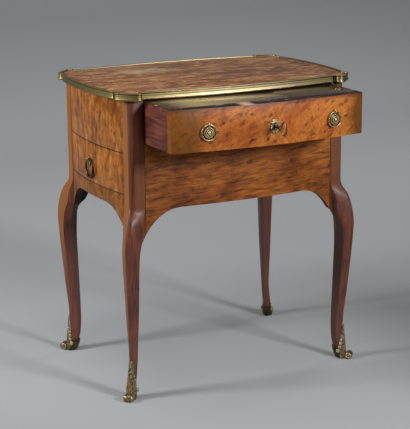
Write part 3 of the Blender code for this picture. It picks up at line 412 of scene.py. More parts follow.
def mahogany(name, tones, run, figure, clouds, turn=(0, 0, 0), pore=1.5, cloud_tint=(0.70, 0.62, 0.58),
             flecks=None, rough=0.38, extra=None):
    """French-polished mahogany: long fibres with short dark pores, a drifting figure and dark flecks.

    tones are the dark, middle and light wood; run stretches the grain and turn lays it over; figure, clouds
    and pore are sizes in mm; flecks are their size in mm, stretch, turn, share and colour.
    """
    look, tree, coords = start_material(name)
    figured = grain(tree, coords, figure, 5, 0.55, run, turn, bend=0.6)
    base = add(tree, "ValToRGB", (figured,), list(zip((0.30, 0.50, 0.70), tones)))
    drift = add(tree, "TexNoise", {"Vector": coords, "Scale": 1000 / clouds, "Detail": 4, "Roughness": 0.6})
    tint = add(tree, "ValToRGB", (drift,), [(0.36, cloud_tint), (0.60, (1, 1, 1))])
    base = add(tree, "MixRGB", (1.0, base, tint), blend_type="MULTIPLY")
    if flecks:
        size, stretch, fleck_turn, share, colour = flecks
        rows = add(tree, "Mapping", (coords, (0, 0, 0), fleck_turn, stretch), vector_type="TEXTURE")
        wander = add(tree, "TexNoise", {"Vector": coords, "Scale": 1000 / 9, "Detail": 4}, out="Color")
        bent = add(tree, "MixRGB", (0.014, rows, wander), blend_type="ADD")
        cells = add(tree, "TexVoronoi", {"Vector": bent, "Scale": 1000 / size}).node.outputs
        chance = add(tree, "SeparateXYZ", (cells["Color"],))
        kept = add(tree, "MapRange", (chance, 1.0 - share, 1.1 - share))
        patchy = add(tree, "MapRange", (drift, 0.62, 0.40, 0.72, 0.98))
        spot = add(tree, "MapRange", (cells["Distance"], 0.47, 0.15))
        for limit in (kept, patchy):
            spot = add(tree, "Math", (spot, limit), operation="MULTIPLY")
        base = add(tree, "MixRGB", (spot, base, colour))
    # Pores are about 0.4 mm wide; they are drawn wider so that they show at this distance.
    fine = tuple(3.0 * length if length > 1 else length for length in run)
    pores = grain(tree, coords, pore, 3, 0.7, fine, turn)
    lines = add(tree, "ValToRGB", (pores,), [(0.36, (0.50, 0.44, 0.40)), (0.54, (1, 1, 1))])
    base = add(tree, "MixRGB", (0.7, base, lines), blend_type="MULTIPLY")
    if extra:
        base = extra(tree, coords, base)
    wear = add(tree, "MapRange", (drift, 0.3, 0.7, rough - 0.06, rough + 0.08))
    return surface(look, base, wear, (pores, 0.12, 0.3), {
        "IOR": 1.48, "Specular IOR Level": 0.3, "Coat Weight": 0.04, "Coat Roughness": 0.15})


def drawer_face(tree, coords, base):
    """Golden veneer at the drawer's left end, painted shade over its right end, curled grain and dirt below its
    top edge.
    """
    x, _, height = add(tree, "SeparateXYZ", (coords,)).node.outputs
    wander = add(tree, "TexNoise", {"Vector": coords, "Scale": 1000 / 30, "Detail": 3})
    shift = add(tree, "Math", (wander, 0.05), operation="MULTIPLY")
    along = add(tree, "Math", (x, shift), operation="ADD")
    base = stain(tree, base, along, -0.135, -0.165, 0.85, "#784609")
    # Painted shade: the right end of the drawer front is darkened.
    base = stain(tree, base, along, 0.215, 0.25, 0.92, "#683e12")
    curl = grain(tree, coords, 4, 2, 0.5, (7, 7, 1), (0, math.radians(62), 0))
    curl = add(tree, "ValToRGB", (curl,), [(0.36, (0.74, 0.68, 0.64)), (0.58, (1, 1, 1))])
    base = add(tree, "MixRGB", (0.6, base, curl), blend_type="MULTIPLY")
    return stain(tree, base, height, *HANDLED, 0.6, "#4a2716")


def bare_edge(name, tones, bald=None):
    """Unpolished edge of a veneered board: dark with old dirt, paler where hands rub it; on the panels' undersides
    and ends the dark is partly painted shade.

    A bald spot is given as its place along X, its reach and its colour.
    """
    look, tree, coords = start_material(name)
    rubs = add(tree, "TexNoise", {"Vector": coords, "Scale": 1000 / 30, "Detail": 4, "Roughness": 0.6})
    base = add(tree, "ValToRGB", (rubs,), list(zip((0.42, 0.62, 0.72), tones)))
    if bald:
        place, reach, colour = bald
        x = add(tree, "SeparateXYZ", (coords,))
        aside = add(tree, "Math", (x, place), operation="SUBTRACT")
        aside = add(tree, "Math", (aside,), operation="ABSOLUTE")
        base = stain(tree, base, aside, reach, 0.4 * reach, 0.95, colour)
    return surface(look, base, 0.62, more={"Specular IOR Level": 0.2})


def drawer_border(tree, coords, base):
    """Dark line of old polish along the top and bottom of the side drawer's front."""
    height = add(tree, "SeparateXYZ", (coords,), out="Z")
    up = add(tree, "Math", (height, SIDE_DRAWER_LEVEL), operation="SUBTRACT")
    up = add(tree, "Math", (up,), operation="ABSOLUTE")
    return stain(tree, base, up, *BORDER, 0.9, "#241206")


def post_faces_with_painted_light(tree, coords, base):
    """Golden post sides, faded veneer with painted light; fronts painted lighter and browner; dark strips of
    painted shadow beside the drawer; inner faces in painted shade.
    """
    x, _, height = add(tree, "SeparateXYZ", (coords,)).node.outputs
    facing = add(tree, "NewGeometry", out="Normal")
    sideways, painted_front_light, _ = add(tree, "SeparateXYZ", (facing,)).node.outputs
    sideways = add(tree, "Math", (sideways,), operation="ABSOLUTE")
    # The golden side faces are faded veneer with painted light on them, as lit from the side.
    face = add(tree, "MapRange", (sideways, 0.72, 0.90))
    golden = add(tree, "MapRange", (height, SHIN, KNEE, 0, 0.8))
    golden = add(tree, "Math", (face, golden), operation="MULTIPLY")
    above = add(tree, "MapRange", (height, 0.40, KNEE, 0, 0.8))
    # Painted light: faces that look to the front, above the knee, are painted lighter and browner, as lit from the
    # front.
    painted_front_light = add(tree, "MapRange", (painted_front_light, -0.84, -0.95, 0, 0.7))
    painted_front_light = add(tree, "Math", (painted_front_light, above), operation="MULTIPLY")
    # Painted shadow: near-black strips on the posts beside the drawer opening, high up, where the drawer casts its
    # shade.
    aside = add(tree, "Math", (x,), operation="ABSOLUTE")
    painted_drawer_shadow = add(tree, "MapRange", (aside, 0.262, 0.250, 0, 0.85))
    higher = add(tree, "MapRange", (height, 0.57, 0.63))
    painted_drawer_shadow = add(tree, "Math", (painted_drawer_shadow, higher), operation="MULTIPLY")
    base = add(tree, "MixRGB", (above, base, (0.80, 0.77, 0.74)), blend_type="MULTIPLY")
    base = add(tree, "MixRGB", (painted_front_light, base, "#7c4a28"))
    base = add(tree, "MixRGB", (painted_drawer_shadow, base, "#1c0f0b"))
    base = stain(tree, base, height, 0.42, SHIN, 0.42, "#66443e")
    base = add(tree, "MixRGB", (golden, base, "#9d632b"))
    # Painted shade: faces that turn in towards the table's middle are darkened.
    away = add(tree, "VectorMath", (coords, -MIDDLE), operation="ADD")
    away = add(tree, "VectorMath", (away, (1, 1, 0)), operation="MULTIPLY")
    away = add(tree, "VectorMath", (away,), operation="NORMALIZE")
    painted_inner_shade = add(tree, "VectorMath", (facing, away), out="Value", operation="DOT_PRODUCT")
    return stain(tree, base, painted_inner_shade, -0.2, -0.5, 0.8, "#4a3332")


def worn_top(tone):
    """Old polished mahogany top: long rosy fibres, pale rubbed patches and a few dark streaks."""
    look, tree, coords = start_material("rubbed_mahogany_top")
    fibres = grain(tree, coords, 8, 5, 0.7, (3.4, 1, 1), bend=0.4)
    base = add(tree, "ValToRGB", (fibres,), [
        (0.34, "#3f251b"), (0.46, tone), (0.56, mixed(tone, linear("#b08058"), 0.6)), (0.68, "#c69e70")])
    rubs = grain(tree, coords, 55, 5, 0.6, (3.2, 1, 1), shift=(0.1, 0.05, 0))
    base = stain(tree, base, rubs, 0.53, 0.70, 0.75, "#b08d68")
    base = stain(tree, base, rubs, 0.46, 0.34, 0.6, "#5b3a30")
    for place, size, colour, share in (((-0.10, 0.20), (0.15, 0.075), "#c2a47c", 0.95),
                                       ((0.06, 0.07), (0.16, 0.045), "#4a2e26", 0.8),
                                       ((-0.24, 0.02), (0.10, 0.09), "#a5733f", 0.5)):
        middle = (*place, TOP_LEVEL)
        near = add(tree, "Mapping", (coords, middle, (0, 0, 0), (*size, 1)), vector_type="TEXTURE")
        near = add(tree, "VectorMath", (near,), out="Value", operation="LENGTH")
        near = add(tree, "MapRange", (near, 1.0, 0.2, 0, 1.6))
        near = add(tree, "Math", (near, fibres), operation="MULTIPLY")
        base = stain(tree, base, near, 0.35, 0.95, share, colour)
    dull = add(tree, "MapRange", (rubs, 0.35, 0.7, 0.44, 0.58))
    return surface(look, base, dull, (fibres, 0.08, 0.3), {"IOR": 1.5, "Specular IOR Level": 0.18})


def polished_leaf():
    """Dark polished leaf of the drawer: faint straight grain, and a pale olive painted reflection of the brass rim
    over its left half.
    """
    look, tree, coords = start_material("ebonised_polished_leaf")
    fibres = grain(tree, coords, 7, 5, 0.5, (12, 1, 1))
    base = add(tree, "ValToRGB", (fibres,), [(0.3, "#33261a"), (0.7, "#54432a")])
    x = add(tree, "SeparateXYZ", (coords,))
    # Painted reflection: the rim's pale olive reflection lies over the leaf's left half and fades out at its far
    # left end.
    worn = add(tree, "MapRange", (x, 0.05, -0.14, 0, 0.75))
    painted_reflection_end = add(tree, "MapRange", (x, -0.222, -0.165))
    worn = add(tree, "Math", (worn, painted_reflection_end), operation="MULTIPLY")
    base = add(tree, "MixRGB", (worn, base, "#b09a66"))
    haze = add(tree, "MapRange", (fibres, 0.3, 0.7, 0.16, 0.26))
    return surface(look, base, haze, more={"IOR": 1.5, "Coat Weight": 0.5, "Coat Roughness": 0.05})


def lining_oak(tone):
    """Raw quarter-sawn oak: open grain along the board and a dry, dull surface."""
    look, tree, coords = start_material("raw_oak_lining")
    fibres = grain(tree, coords, 5, 6, 0.7, (10, 1, 1))
    base = add(tree, "ValToRGB", (fibres,), [
        (0.3, shade(tone, 0.55)), (0.5, tone), (0.75, mixed(tone, linear("#c9aa7c"), 0.5))])
    return surface(look, base, 0.62, (fibres, 0.2, 0.4))


def cast_metal(name, bright, dim, rough, patch):
    """Cast and chased metal: rubbed bright in patches of some mm, dark and dull between, with file marks."""
    look, tree, coords = start_material(name)
    blotch = add(tree, "TexNoise", {"Vector": coords, "Scale": 1000 / patch, "Detail": 5, "Roughness": 0.65})
    worn = add(tree, "MapRange", (blotch, 0.34, 0.6))
    base = add(tree, "MixRGB", (worn, dim, bright))
    gloss = add(tree, "MapRange", (worn, 0, 1, rough + 0.18, rough))
    marks = add(tree, "TexNoise", {"Vector": coords, "Scale": 1000 / 2.2, "Detail": 4})
    return surface(look, base, gloss, (marks, 0.12, 0.3), {"Metallic": 1.0})


def rim_brass(bright, dim):
    """Drawn and polished brass moulding: bright beads, dark grooves, a tarnished hollow and painted darker
    reflections towards its ends.
    """
    look, tree, coords = start_material("polished_brass_moulding")
    x, _, height = add(tree, "SeparateXYZ", (coords,)).node.outputs
    rise = add(tree, "MapRange", (height, RIM_FOOT, RIM_TOP))
    hollow = add(tree, "ValToRGB", (rise,), [(level, (depth, depth, depth)) for level, depth in (
        (0.22, 0), (0.27, 0.9), (0.34, 0.55), (0.70, 0.55), (0.78, 1), (0.84, 1), (0.88, 0))])
    blotch = add(tree, "TexNoise", {"Vector": coords, "Scale": 1000 / 26, "Detail": 6, "Roughness": 0.65})
    spots = add(tree, "MapRange", (blotch, 0.40, 0.66))
    dull = add(tree, "Math", (hollow, spots), operation="MULTIPLY")
    # Painted reflection: the brass is painted duller and darker towards both ends, most at the left, as a darker
    # reflection.
    for start, end, share in ((-0.16, -0.26, 0.75), (0.10, 0.26, 0.40)):
        painted_dim_end = add(tree, "MapRange", (x, start, end, 0, share))
        dull = add(tree, "Math", (dull, painted_dim_end), operation="ADD", use_clamp=True)
    base = add(tree, "MixRGB", (dull, bright, dim))
    base = stain(tree, base, hollow, 0.6, 0.95, 1.0, "#2f2714")
    gloss = add(tree, "MapRange", (dull, 0, 1, 0.38, 0.50))
    marks = add(tree, "TexNoise", {"Vector": coords, "Scale": 1000 / 20, "Detail": 2})
    return surface(look, base, gloss, (marks, 0.05, 0.5), {"Metallic": 1.0})


def studio_paper(tone):
    """Graduated seamless paper: matt, with a painted shadow of the table just behind it and to its sides, paler
    further back, darker again up the wall.
    """
    look, tree, coords = start_material("seamless_paper")
    x, y, z = add(tree, "SeparateXYZ", (coords,)).node.outputs
    along = add(tree, "Math", (y, z), operation="ADD")
    along = add(tree, "MapRange", (along, -0.5, 4.5))
    # The dip in the ramp just behind the table is a painted shadow of the table.
    base = add(tree, "ValToRGB", (along,), [(place, shade(tone, level)) for place, level in (
        (0.03, 0.84), (0.12, 0.97), (0.19, 0.84), (0.25, 0.84), (0.31, 0.90),
        (0.41, 1.02), (0.57, 1.16), (0.71, 1.06), (0.84, 0.81), (0.90, 0.70))])
    # Painted shadow: the paper is darkened to the right of the table, less to its left, near it and in front.
    near = add(tree, "MapRange", (y, 0.75, 0.15))
    for start, end, share in ((0.25, 0.65, 0.68), (-0.30, -0.75, 0.26)):
        aside = add(tree, "MapRange", (x, start, end, 0, share))
        aside = add(tree, "Math", (aside, near), operation="MULTIPLY")
        base = add(tree, "MixRGB", (aside, base, shade(tone, 0.30)))
    return surface(look, base, 0.75)


class TABLE_OT_materials(bpy.types.Operator):
    """Make every wood and metal of the table"""

    bl_idname = "table.materials"
    bl_label = "Woods and metals"

    def execute(self, context):
        self.make_woods(context.scene.table_woods)
        self.make_metals(context.scene.table_metals)
        return {"FINISHED"}

    def make_woods(self, woods):
        """Polished veneers with their own figure, dry edges and linings."""
        front, sides = tuple(woods.front), tuple(woods.sides)
        slant = (0, math.radians(-30), 0)
        LOOKS["posts"] = mahogany(
            "red_mahogany_posts", ("#3a170c", tuple(woods.posts), "#8a4a2c"), (1, 1, 16), 8, 120, rough=0.42,
            extra=post_faces_with_painted_light)
        LOOKS["drawer_front"] = mahogany(
            "plum_pudding_mahogany_drawer", ("#a2541a", front, "#dc8a38"), (3.2, 3.2, 1), 22, 70, slant,
            cloud_tint=(0.80, 0.62, 0.55), flecks=(11, (2.0, 2.0, 1.0), slant, 0.66, "#421806"),
            extra=drawer_face)
        # The front panel's middle tone is the drawer front's at 0.60: partly its own darker wood, partly painted
        # shade under the drawer; the back panel shares it.
        LOOKS["front"] = mahogany(
            "plum_pudding_mahogany_front", ("#5f3212", shade(front, 0.60), "#bf6e2d"), (6, 6, 1), 7, 70,
            (0, math.radians(-4), 0), pore=3.0, cloud_tint=(0.50, 0.42, 0.36),
            flecks=(11, (3.4, 3.4, 1.0), (0, math.radians(-8), 0), 0.16, "#55280f"))
        side_tones = ("#764314", sides, "#cc8c3e")
        side_figure = {
            "run": (1, 1, 2.6), "figure": 14, "clouds": 50, "pore": 2.6, "cloud_tint": (0.62, 0.52, 0.42),
            "flecks": (8, (1.0, 1.5, 1.0), (0.5, 0, 0), 0.32, "#65360f")}
        LOOKS["sides"] = mahogany("faded_mahogany_sides", side_tones, **side_figure)
        LOOKS["apron"] = mahogany(
            "shaded_mahogany_apron", ("#5c3310", shade(sides, 0.66), "#a56e30"), **side_figure)
        LOOKS["top"] = worn_top(tuple(woods.top))
        LOOKS["drawer_sides"] = mahogany(
            "purple_brown_drawer_side", ("#4a231c", "#6c372c", "#8a5040"), (1, 9, 1), 9, 50, rough=0.46)
        LOOKS["side_drawer"] = mahogany(
            "faded_mahogany_sides", side_tones, **side_figure, extra=drawer_border)
        LOOKS["worn_edge"] = bare_edge(
            "worn_drawer_edge", ("#20120e", "#3d241c", "#a08070"), (-0.062, 0.020, "#c49e84"))
        # Raw panel edges: dark raw, dirty wood with painted shade.
        LOOKS["raw_and_shaded_edge"] = bare_edge("raw_and_shaded_panel_edge", ("#281814", "#38231c", "#452c22"))
        LOOKS["leaf"] = polished_leaf()
        LOOKS["oak"] = lining_oak(tuple(woods.lining))

    def make_metals(self, metals):
        """Brass and bronze that hands keep bright where they stand out, dark grounds, and aged steel."""
        LOOKS["rim"] = rim_brass(tuple(metals.brass), tuple(metals.tarnish))
        bronze, patina = tuple(metals.bronze), tuple(metals.patina)
        for look, *metal in (
                ("brass", "cast_polished_brass", "#e6d6a6", "#a8955e", 0.40, 9),
                ("ring_brass", "handled_brass_ring", "#d8c694", "#5c4e2c", 0.30, 7),
                ("tarnish", "tarnished_brass_ground", "#5a4c2a", "#2c2414", 0.45, 6),
                ("bronze", "rubbed_gilt_bronze", bronze, mixed(bronze, patina, 0.35), 0.27, 5),
                ("patina", "dark_bronze_ground", mixed(bronze, patina, 0.46), patina, 0.38, 6),
                ("warm_bronze", "warm_gilt_bronze", "#dcaa70", "#8c6238", 0.36, 12),
                ("dark_ring", "blackened_bronze", mixed(bronze, patina, 0.86), "#150f08", 0.34, 6),
                ("steel", "aged_steel", tuple(metals.steel), "#241f1a", 0.38, 5),
                ("key_bow", "worn_brass_key", "#9a7852", "#463424", 0.40, 4)):
            LOOKS[look] = cast_metal(*metal)


# Wooden pieces

class TABLE_OT_casework(bpy.types.Operator):
    """Post-and-leg uprights, bowed panels and the top, with worn edges"""

    bl_idname = "table.casework"
    bl_label = "Carcass and top"

    def execute(self, context):
        woods = context.scene.table_woods
        for corner in CORNERS:
            upright = merged_copy("upright_" + corner, "leg_" + corner)
            ease_edges(upright, woods.ease, 26)
            dress(upright, "leg_" + corner, "posts")
        for node, look, across, outward in (
                ("front_panel", "front", 1, -1), ("back_panel", "front", 1, 1),
                ("right_side_panel", "sides", 0, 1), ("left_upper_panel", "sides", 0, -1),
                ("left_apron", "apron", 0, -1)):
            veneer = merged_copy("veneered_" + node, node)
            if node != "left_upper_panel":
                self.meet_legs(veneer, across)
            ease_edges(veneer, 0.6 * woods.ease)
            dress(veneer, node, look)
            # Faces that don't look outwards, the undersides, ends and inner faces, are raw dirty wood in painted
            # shade.
            finish_faces(veneer, "raw_and_shaded_edge", lambda middle, normal: outward * normal[across] < 0.6)
        top = merged_copy("polished_top", "top_panel")
        level = max(vertex.co.z for vertex in top.data.vertices)
        pick(top, lambda vertex: vertex.co.z > level - 0.1 * MM)
        bpy.ops.transform.translate(value=(0, 0, -woods.sink))
        leave()
        ease_edges(top, 0.4 * woods.ease, 60)
        dress(top, "top_panel", "top")
        for node in ("dust_board", "bottom_board", "drawer_guide_left", "drawer_guide_right",
                     "drawer_kicker_left", "drawer_kicker_right", "drawer_stop", "side_drawer_guide_front",
                     "side_drawer_guide_back", "side_drawer_stop"):
            finish_with(frame["nodes"][node], "oak")
        return {"FINISHED"}

    def meet_legs(self, veneer, across):
        """Lead the inner tips of a panel's arch along the legs, whose inner faces curve away from them."""
        along = 1 - across
        points = [vertex.co - MIDDLE for vertex in veneer.data.vertices]
        low = min(point.z for point in points)
        for side in (-1, 1):
            ends = [i for i, point in enumerate(points)
                    if point.z < low + 0.5 * MM and side * point[along] > 0]
            tip = min(ends, key=lambda i: abs(points[i][across]))
            pick(veneer, lambda vertex: vertex.index == tip)
            shift = [0, 0, -TIP_DROP]
            shift[along] = side * TIP_OUT
            bpy.ops.transform.translate(value=shift)
            leave()


class TABLE_OT_drawers(bpy.types.Operator):
    """Both drawers' boards, the writing slide and the compartment lid"""

    bl_idname = "table.drawers"
    bl_label = "Drawers"

    def execute(self, context):
        ease = context.scene.table_woods.ease
        for node, look in (("drawer_front", "drawer_front"), ("drawer_side_left", "drawer_sides"),
                           ("drawer_side_right", "drawer_sides"), ("writing_slide", "leaf"),
                           ("compartment_lid", "leaf"), ("side_drawer_front", "side_drawer")):
            board = merged_copy("finished_" + node, node)
            ease_edges(board, 0.7 * ease)
            dress(board, node, look)
            if look in ("drawer_front", "drawer_sides"):
                finish_faces(board, "worn_edge", lambda middle, normal: (
                    normal.z > 0.8 and middle.z > DRAWER_EDGE_LEVEL))
        for node in ("drawer_back", "drawer_bottom", "drawer_divider", "side_drawer_side_front",
                     "side_drawer_side_back", "side_drawer_bottom", "side_drawer_back"):
            finish_with(frame["nodes"][node], "oak")
        return {"FINISHED"}


# Metal pieces

class TABLE_OT_rim(bpy.types.Operator):
    """Moulded brass rim in eight lengths, butted at their joints"""

    bl_idname = "table.rim"
    bl_label = "Brass rim"

    def execute(self, context):
        for node in [name for name in frame["nodes"] if name.startswith("rim_")]:
            length = merged_copy("brass_" + node, node)
            self.round_lip(length)
            smooth(length, 40)
            self.round_bends(length)
            dress(length, node, "rim")
        return {"FINISHED"}

    def round_lip(self, length):
        """Round the rim's inner top edge, which stands above the wood."""
        mesh = length.data
        weight = mesh.attributes.new("bevel_weight_edge", "FLOAT", "EDGE")
        top = max(vertex.co.z for vertex in mesh.vertices)
        for line, first, last, angle, at_end in edge_angles(mesh):
            lip = min(first.z, last.z) > top - 1.0 * MM and angle > math.radians(55) and not at_end
            weight.data[line.index].value = 1.0 if lip else 0.0
        bevel(length, 0.8 * MM, 3, limit_method="WEIGHT")

    def round_bends(self, length):
        """Shade the moulding as one curve round its bends, and leave the lines that run along it crisp."""
        for line, first, last, angle, at_end in edge_angles(length.data):
            across = abs(first.z - last.z) > 0.3 * (first - last).length
            if across and angle < math.radians(80) and not at_end:
                line.use_edge_sharp = False


def foot_matrix(sx, sy):
    """From a foot's own frame (outwards, across, up) to the table."""
    lean = 1 / math.sqrt(2)
    middle_y = (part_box("rim_back")[1][1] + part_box("rim_front")[0][1]) / 2
    place = Matrix.Identity(4)
    place[0][0], place[0][1], place[0][3] = sx * lean, -sx * lean, sx * FOOT_X
    place[1][0], place[1][1], place[1][3] = sy * lean, sy * lean, middle_y + sy * FOOT_Y
    return place


def splay(z):
    """How far a leg has gone sideways at a height, as its CAD solid does."""
    return -SPLAY * max(0.0, 1 - z / SPLAY_START) ** SPLAY_POWER


def foot_front(z):
    """How far the foot's front stands out at a height, with the sabot's shell on it."""
    t = min(1.0, z / FOOT_TALL)
    sole, low, high, ankle = FOOT_CURVE
    wood = (1 - t) ** 3 * sole + 3 * (1 - t) ** 2 * t * low + 3 * (1 - t) * t * t * high + t ** 3 * ankle
    return wood + SHELL_STAND - SHELL_TAPER * t


class TABLE_OT_sabots(bpy.types.Operator):
    """Cast bronze sabots: leaf-shaped shell with ribs, scalloped edges, beads and a scrolled toe"""

    bl_idname = "table.sabots"
    bl_label = "Sabots"

    def execute(self, context):
        for corner, (sx, sy) in CORNERS.items():
            place = foot_matrix(sx, sy)
            to_foot = place.inverted()
            shell = merged_copy("shell", "sabot_" + corner)
            ease_edges(shell, 0.5 * MM, 40)
            finish_with(shell, "patina")
            finish_faces(shell, "dark_ring", lambda middle, normal: (to_foot @ middle).x < -2 * MM)
            trim = self.ribs() + self.beads() + self.scallops() + self.toe()
            for piece in trim:
                move(piece, place)
            dress(join([shell] + trim, "bronze_sabot_" + corner), "sabot_" + corner)
        return {"FINISHED"}

    def ribs(self):
        """A middle rib with two veins a side, which spring from the toe and run up the leaf."""
        made = []
        start, steps = 0.010, 5
        for across, top, thick in ((0.0, 0.068, 2.0), (-0.0042, 0.060, 1.5), (0.0042, 0.060, 1.5),
                                   (-0.0085, 0.050, 1.4), (0.0085, 0.050, 1.4)):
            points = []
            radii = []
            for i in range(steps + 1):
                t = i / steps
                z = start + t * (top - start)
                spread = across * (1.05 - 0.25 * t)
                back = max(0.0, abs(spread) - 0.0040) * 1.6
                points.append((foot_front(z) - back + 0.2 * MM, splay(z) + spread, z))
                radii.append(thick * MM * (1.0 - 0.45 * t))
            made.append(tapered_rod(points, radii))
            finish_with(made[-1], "warm_bronze" if abs(across) < 0.005 else "dark_ring")
        return made

    def beads(self):
        """Two rows of beads that run up the leaf's point, and one at its tip."""
        made = []
        for row in range(5):
            z = 0.068 + 0.0058 * row
            for side in (-1, 1):
                place = (foot_front(z) + 0.2 * MM, splay(z) + side * (0.0026 - 0.00035 * row), z)
                made.append(bead((1.75 - 0.16 * row) * MM, place))
                finish_with(made[-1], "bronze" if (row + side) % 4 else "dark_ring")
        tip = 0.0935
        made.append(bead(1.4 * MM, (foot_front(tip) - 0.4 * MM, splay(tip), tip), (0.8, 0.8, 1.0)))
        finish_with(made[-1], "bronze")
        return made

    def scallops(self):
        """Turned-over lobes along the leaf's two edges, and a scroll where each meets the heel."""
        made = []
        lean = Matrix.Rotation(math.radians(28), 4, "Y")
        for side in (-1, 1):
            for z, out, across, size in ((0.066, 0.0052, 0.0052, 2.6), (0.058, 0.0040, 0.0072, 3.2),
                                         (0.049, 0.0024, 0.0090, 3.6), (0.040, 0.0010, 0.0106, 3.8),
                                         (0.031, -0.0004, 0.0118, 3.8)):
                lobe = bead(size * MM, (0, 0, 0), (0.95, 0.42, 1.15))
                lobe.data.transform(Matrix.Translation((out, splay(z) + side * across, z)) @ lean)
                made.append(lobe)
            made += self.scroll((3.6, 1.3, 20), 1.9, -0.0045, splay(0.022), side, (0.0138, 0.0140), 0.0215)
        for piece in made:
            finish_with(piece, "bronze")
        return made

    def toe(self):
        """Volutes on both ends of the toe's roll, with dark eyes."""
        made = []
        for side in (-1, 1):
            made += self.scroll((5.6, 1.7, 24), 2.6, 0.0208, splay(0.01), side, (0.0086, 0.0092), 0.0098)
            for piece, look in zip(made[-2:], ("bronze", "patina")):
                finish_with(piece, look)
        return made

    def scroll(self, ring, ball, out, middle, side, across, z):
        """An upright ring of some radius, wire and steps on one side of the foot, with a ball in its eye."""
        radius, wire, steps = ring
        loop = torus(radius * MM, wire * MM, steps, 8)
        place = Matrix.Translation((out, middle + side * across[0], z))
        loop.data.transform(place @ Matrix.Rotation(math.pi / 2, 4, "X"))
        return [loop, bead(ball * MM, (out, middle + side * across[1], z), (1, 0.7, 1))]


def pull_frame(point, outward):
    """From a pull's own frame (along the face, up, outwards) to the table."""
    out = Vector(outward).normalized()
    place = Matrix((UP.cross(out), UP, out)).transposed().to_4x4()
    return Matrix.Translation(point) @ place


class TABLE_OT_pulls(bpy.types.Operator):
    """Turned rosettes with beaded rings on the front drawer, and the side drawer's drop ring"""

    bl_idname = "table.pulls"
    bl_label = "Ring pulls"

    def execute(self, context):
        for hand in ("left", "right"):
            place = self.seat("pull_ring_" + hand + "_lift", FRONT_EYE)
            boss = lathe(ROSETTE, 48)
            self.mount(boss, FRONT_EYE, place, ("brass", "brass"),
                       "turned_rosette_" + hand, "rosette_" + hand)
            ring = self.ring("beaded_ring_" + hand, FRONT_RING, FRONT_EYE, 30)
            move(ring, place)
            dress(ring, "pull_ring_" + hand, "ring_brass")
        place = self.seat("side_pull_ring_lift", SIDE_EYE)
        boss = lathe(SIDE_BOSS, 32)
        finish_with(boss, "patina")
        self.mount(boss, SIDE_EYE, place, ("patina", "bronze"), "side_rosette", "side_pull_plate")
        ring = self.ring("side_drop_ring", SIDE_RING, SIDE_EYE, 0)
        for level in SWELL_LEVELS:
            pick(ring, lambda vertex: vertex.co.y < level)
            bpy.ops.transform.shrink_fatten(value=SWELL)
            leave()
        move(ring, place)
        dress(ring, "side_pull_ring", "dark_ring")
        return {"FINISHED"}

    def seat(self, lift, eye_rise):
        """Where a pull sits on its drawer, from the joint that lifts its ring."""
        joint = next(joint for joint in frame["joints"] if joint["name"] == lift)
        out = Vector(joint["axis"]).cross(-UP)
        return pull_frame(Vector(joint["pos_m"]) - out * EYE_STAND - UP * eye_rise, out)

    def mount(self, boss, eye_rise, place, looks, name, node):
        """Join a turned boss with its stem and with the eye that the ring hangs in."""
        stem = bead(3.0 * MM, (0, eye_rise - 3.3 * MM, 2.6 * MM), (0.75, 1.0, 0.75))
        loop = torus(EYE_RADIUS, EYE_WIRE, 24, 10)
        upright = Matrix.Rotation(math.pi / 2, 4, "Y")
        loop.data.transform(Matrix.Translation((0, eye_rise, EYE_STAND)) @ upright)
        for part, look in zip((stem, loop), looks):
            finish_with(part, look)
        made = join([boss, stem, loop], name)
        move(made, place)
        dress(made, node)

    def ring(self, name, radius, eye_rise, pearls):
        """A cast ring that hangs from its eye, in the pull's own frame; some rings are beaded all round."""
        parts = [torus(radius, RING_WIRE * 0.86 if pearls else RING_WIRE, 64, 14)]
        for i in range(pearls):
            turn = 2 * math.pi * i / pearls
            parts.append(bead(1.6 * MM, (radius * math.cos(turn), radius * math.sin(turn), 0.7 * MM)))
        made = join(parts, name)
        made.data.transform(Matrix.Translation((0, eye_rise - radius, EYE_STAND)))
        return made


class TABLE_OT_lock(bpy.types.Operator):
    """Escutcheon, key, lock case and bolt"""

    bl_idname = "table.lock"
    bl_label = "Lock and key"

    def execute(self, context):
        low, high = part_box("key_escutcheon")
        place = pull_frame(Vector(((low[0] + high[0]) / 2, high[1], KEY_LEVEL)), (0, -1, 0))
        plate = merged_copy("plate", "key_escutcheon")
        ease_edges(plate, 0.3 * MM, 40)
        finish_with(plate, "patina")
        trim = self.scrolls()
        for piece in trim:
            finish_with(piece, "brass")
            move(piece, place)
        dress(join([plate] + trim, "scrolled_escutcheon"), "key_escutcheon")
        for node in ("key", "lock_case", "lock_bolt"):
            iron = merged_copy("finished_" + node, node)
            ease_edges(iron, 0.25 * MM, 40)
            dress(iron, node, "steel")
            if node == "key":
                finish_faces(iron, "key_bow", lambda middle, normal: middle.y < KEY_BOW_Y)
        return {"FINISHED"}

    def scrolls(self):
        """A ring of large and small scrolls round the plate, and a ribbon bow on its top."""
        made = []
        count, wide, tall = 14, 9.0 * MM, 13.6 * MM
        for i in range(count):
            turn = 2 * math.pi * (i + 0.5) / count
            place = (wide * math.cos(turn), tall * math.sin(turn), 1.3 * MM)
            made.append(bead((1.9 if i % 2 else 1.4) * MM, place, (1, 1, 0.7)))
        for side in (-1, 1):
            loop = torus(3.0 * MM, 0.9 * MM, 20, 8)
            flat = Matrix.Diagonal((1, 0.7, 1, 1))
            loop.data.transform(Matrix.Translation((side * 2.8 * MM, tall, 1.5 * MM)) @ flat)
            made.append(loop)
        return made


# Stage

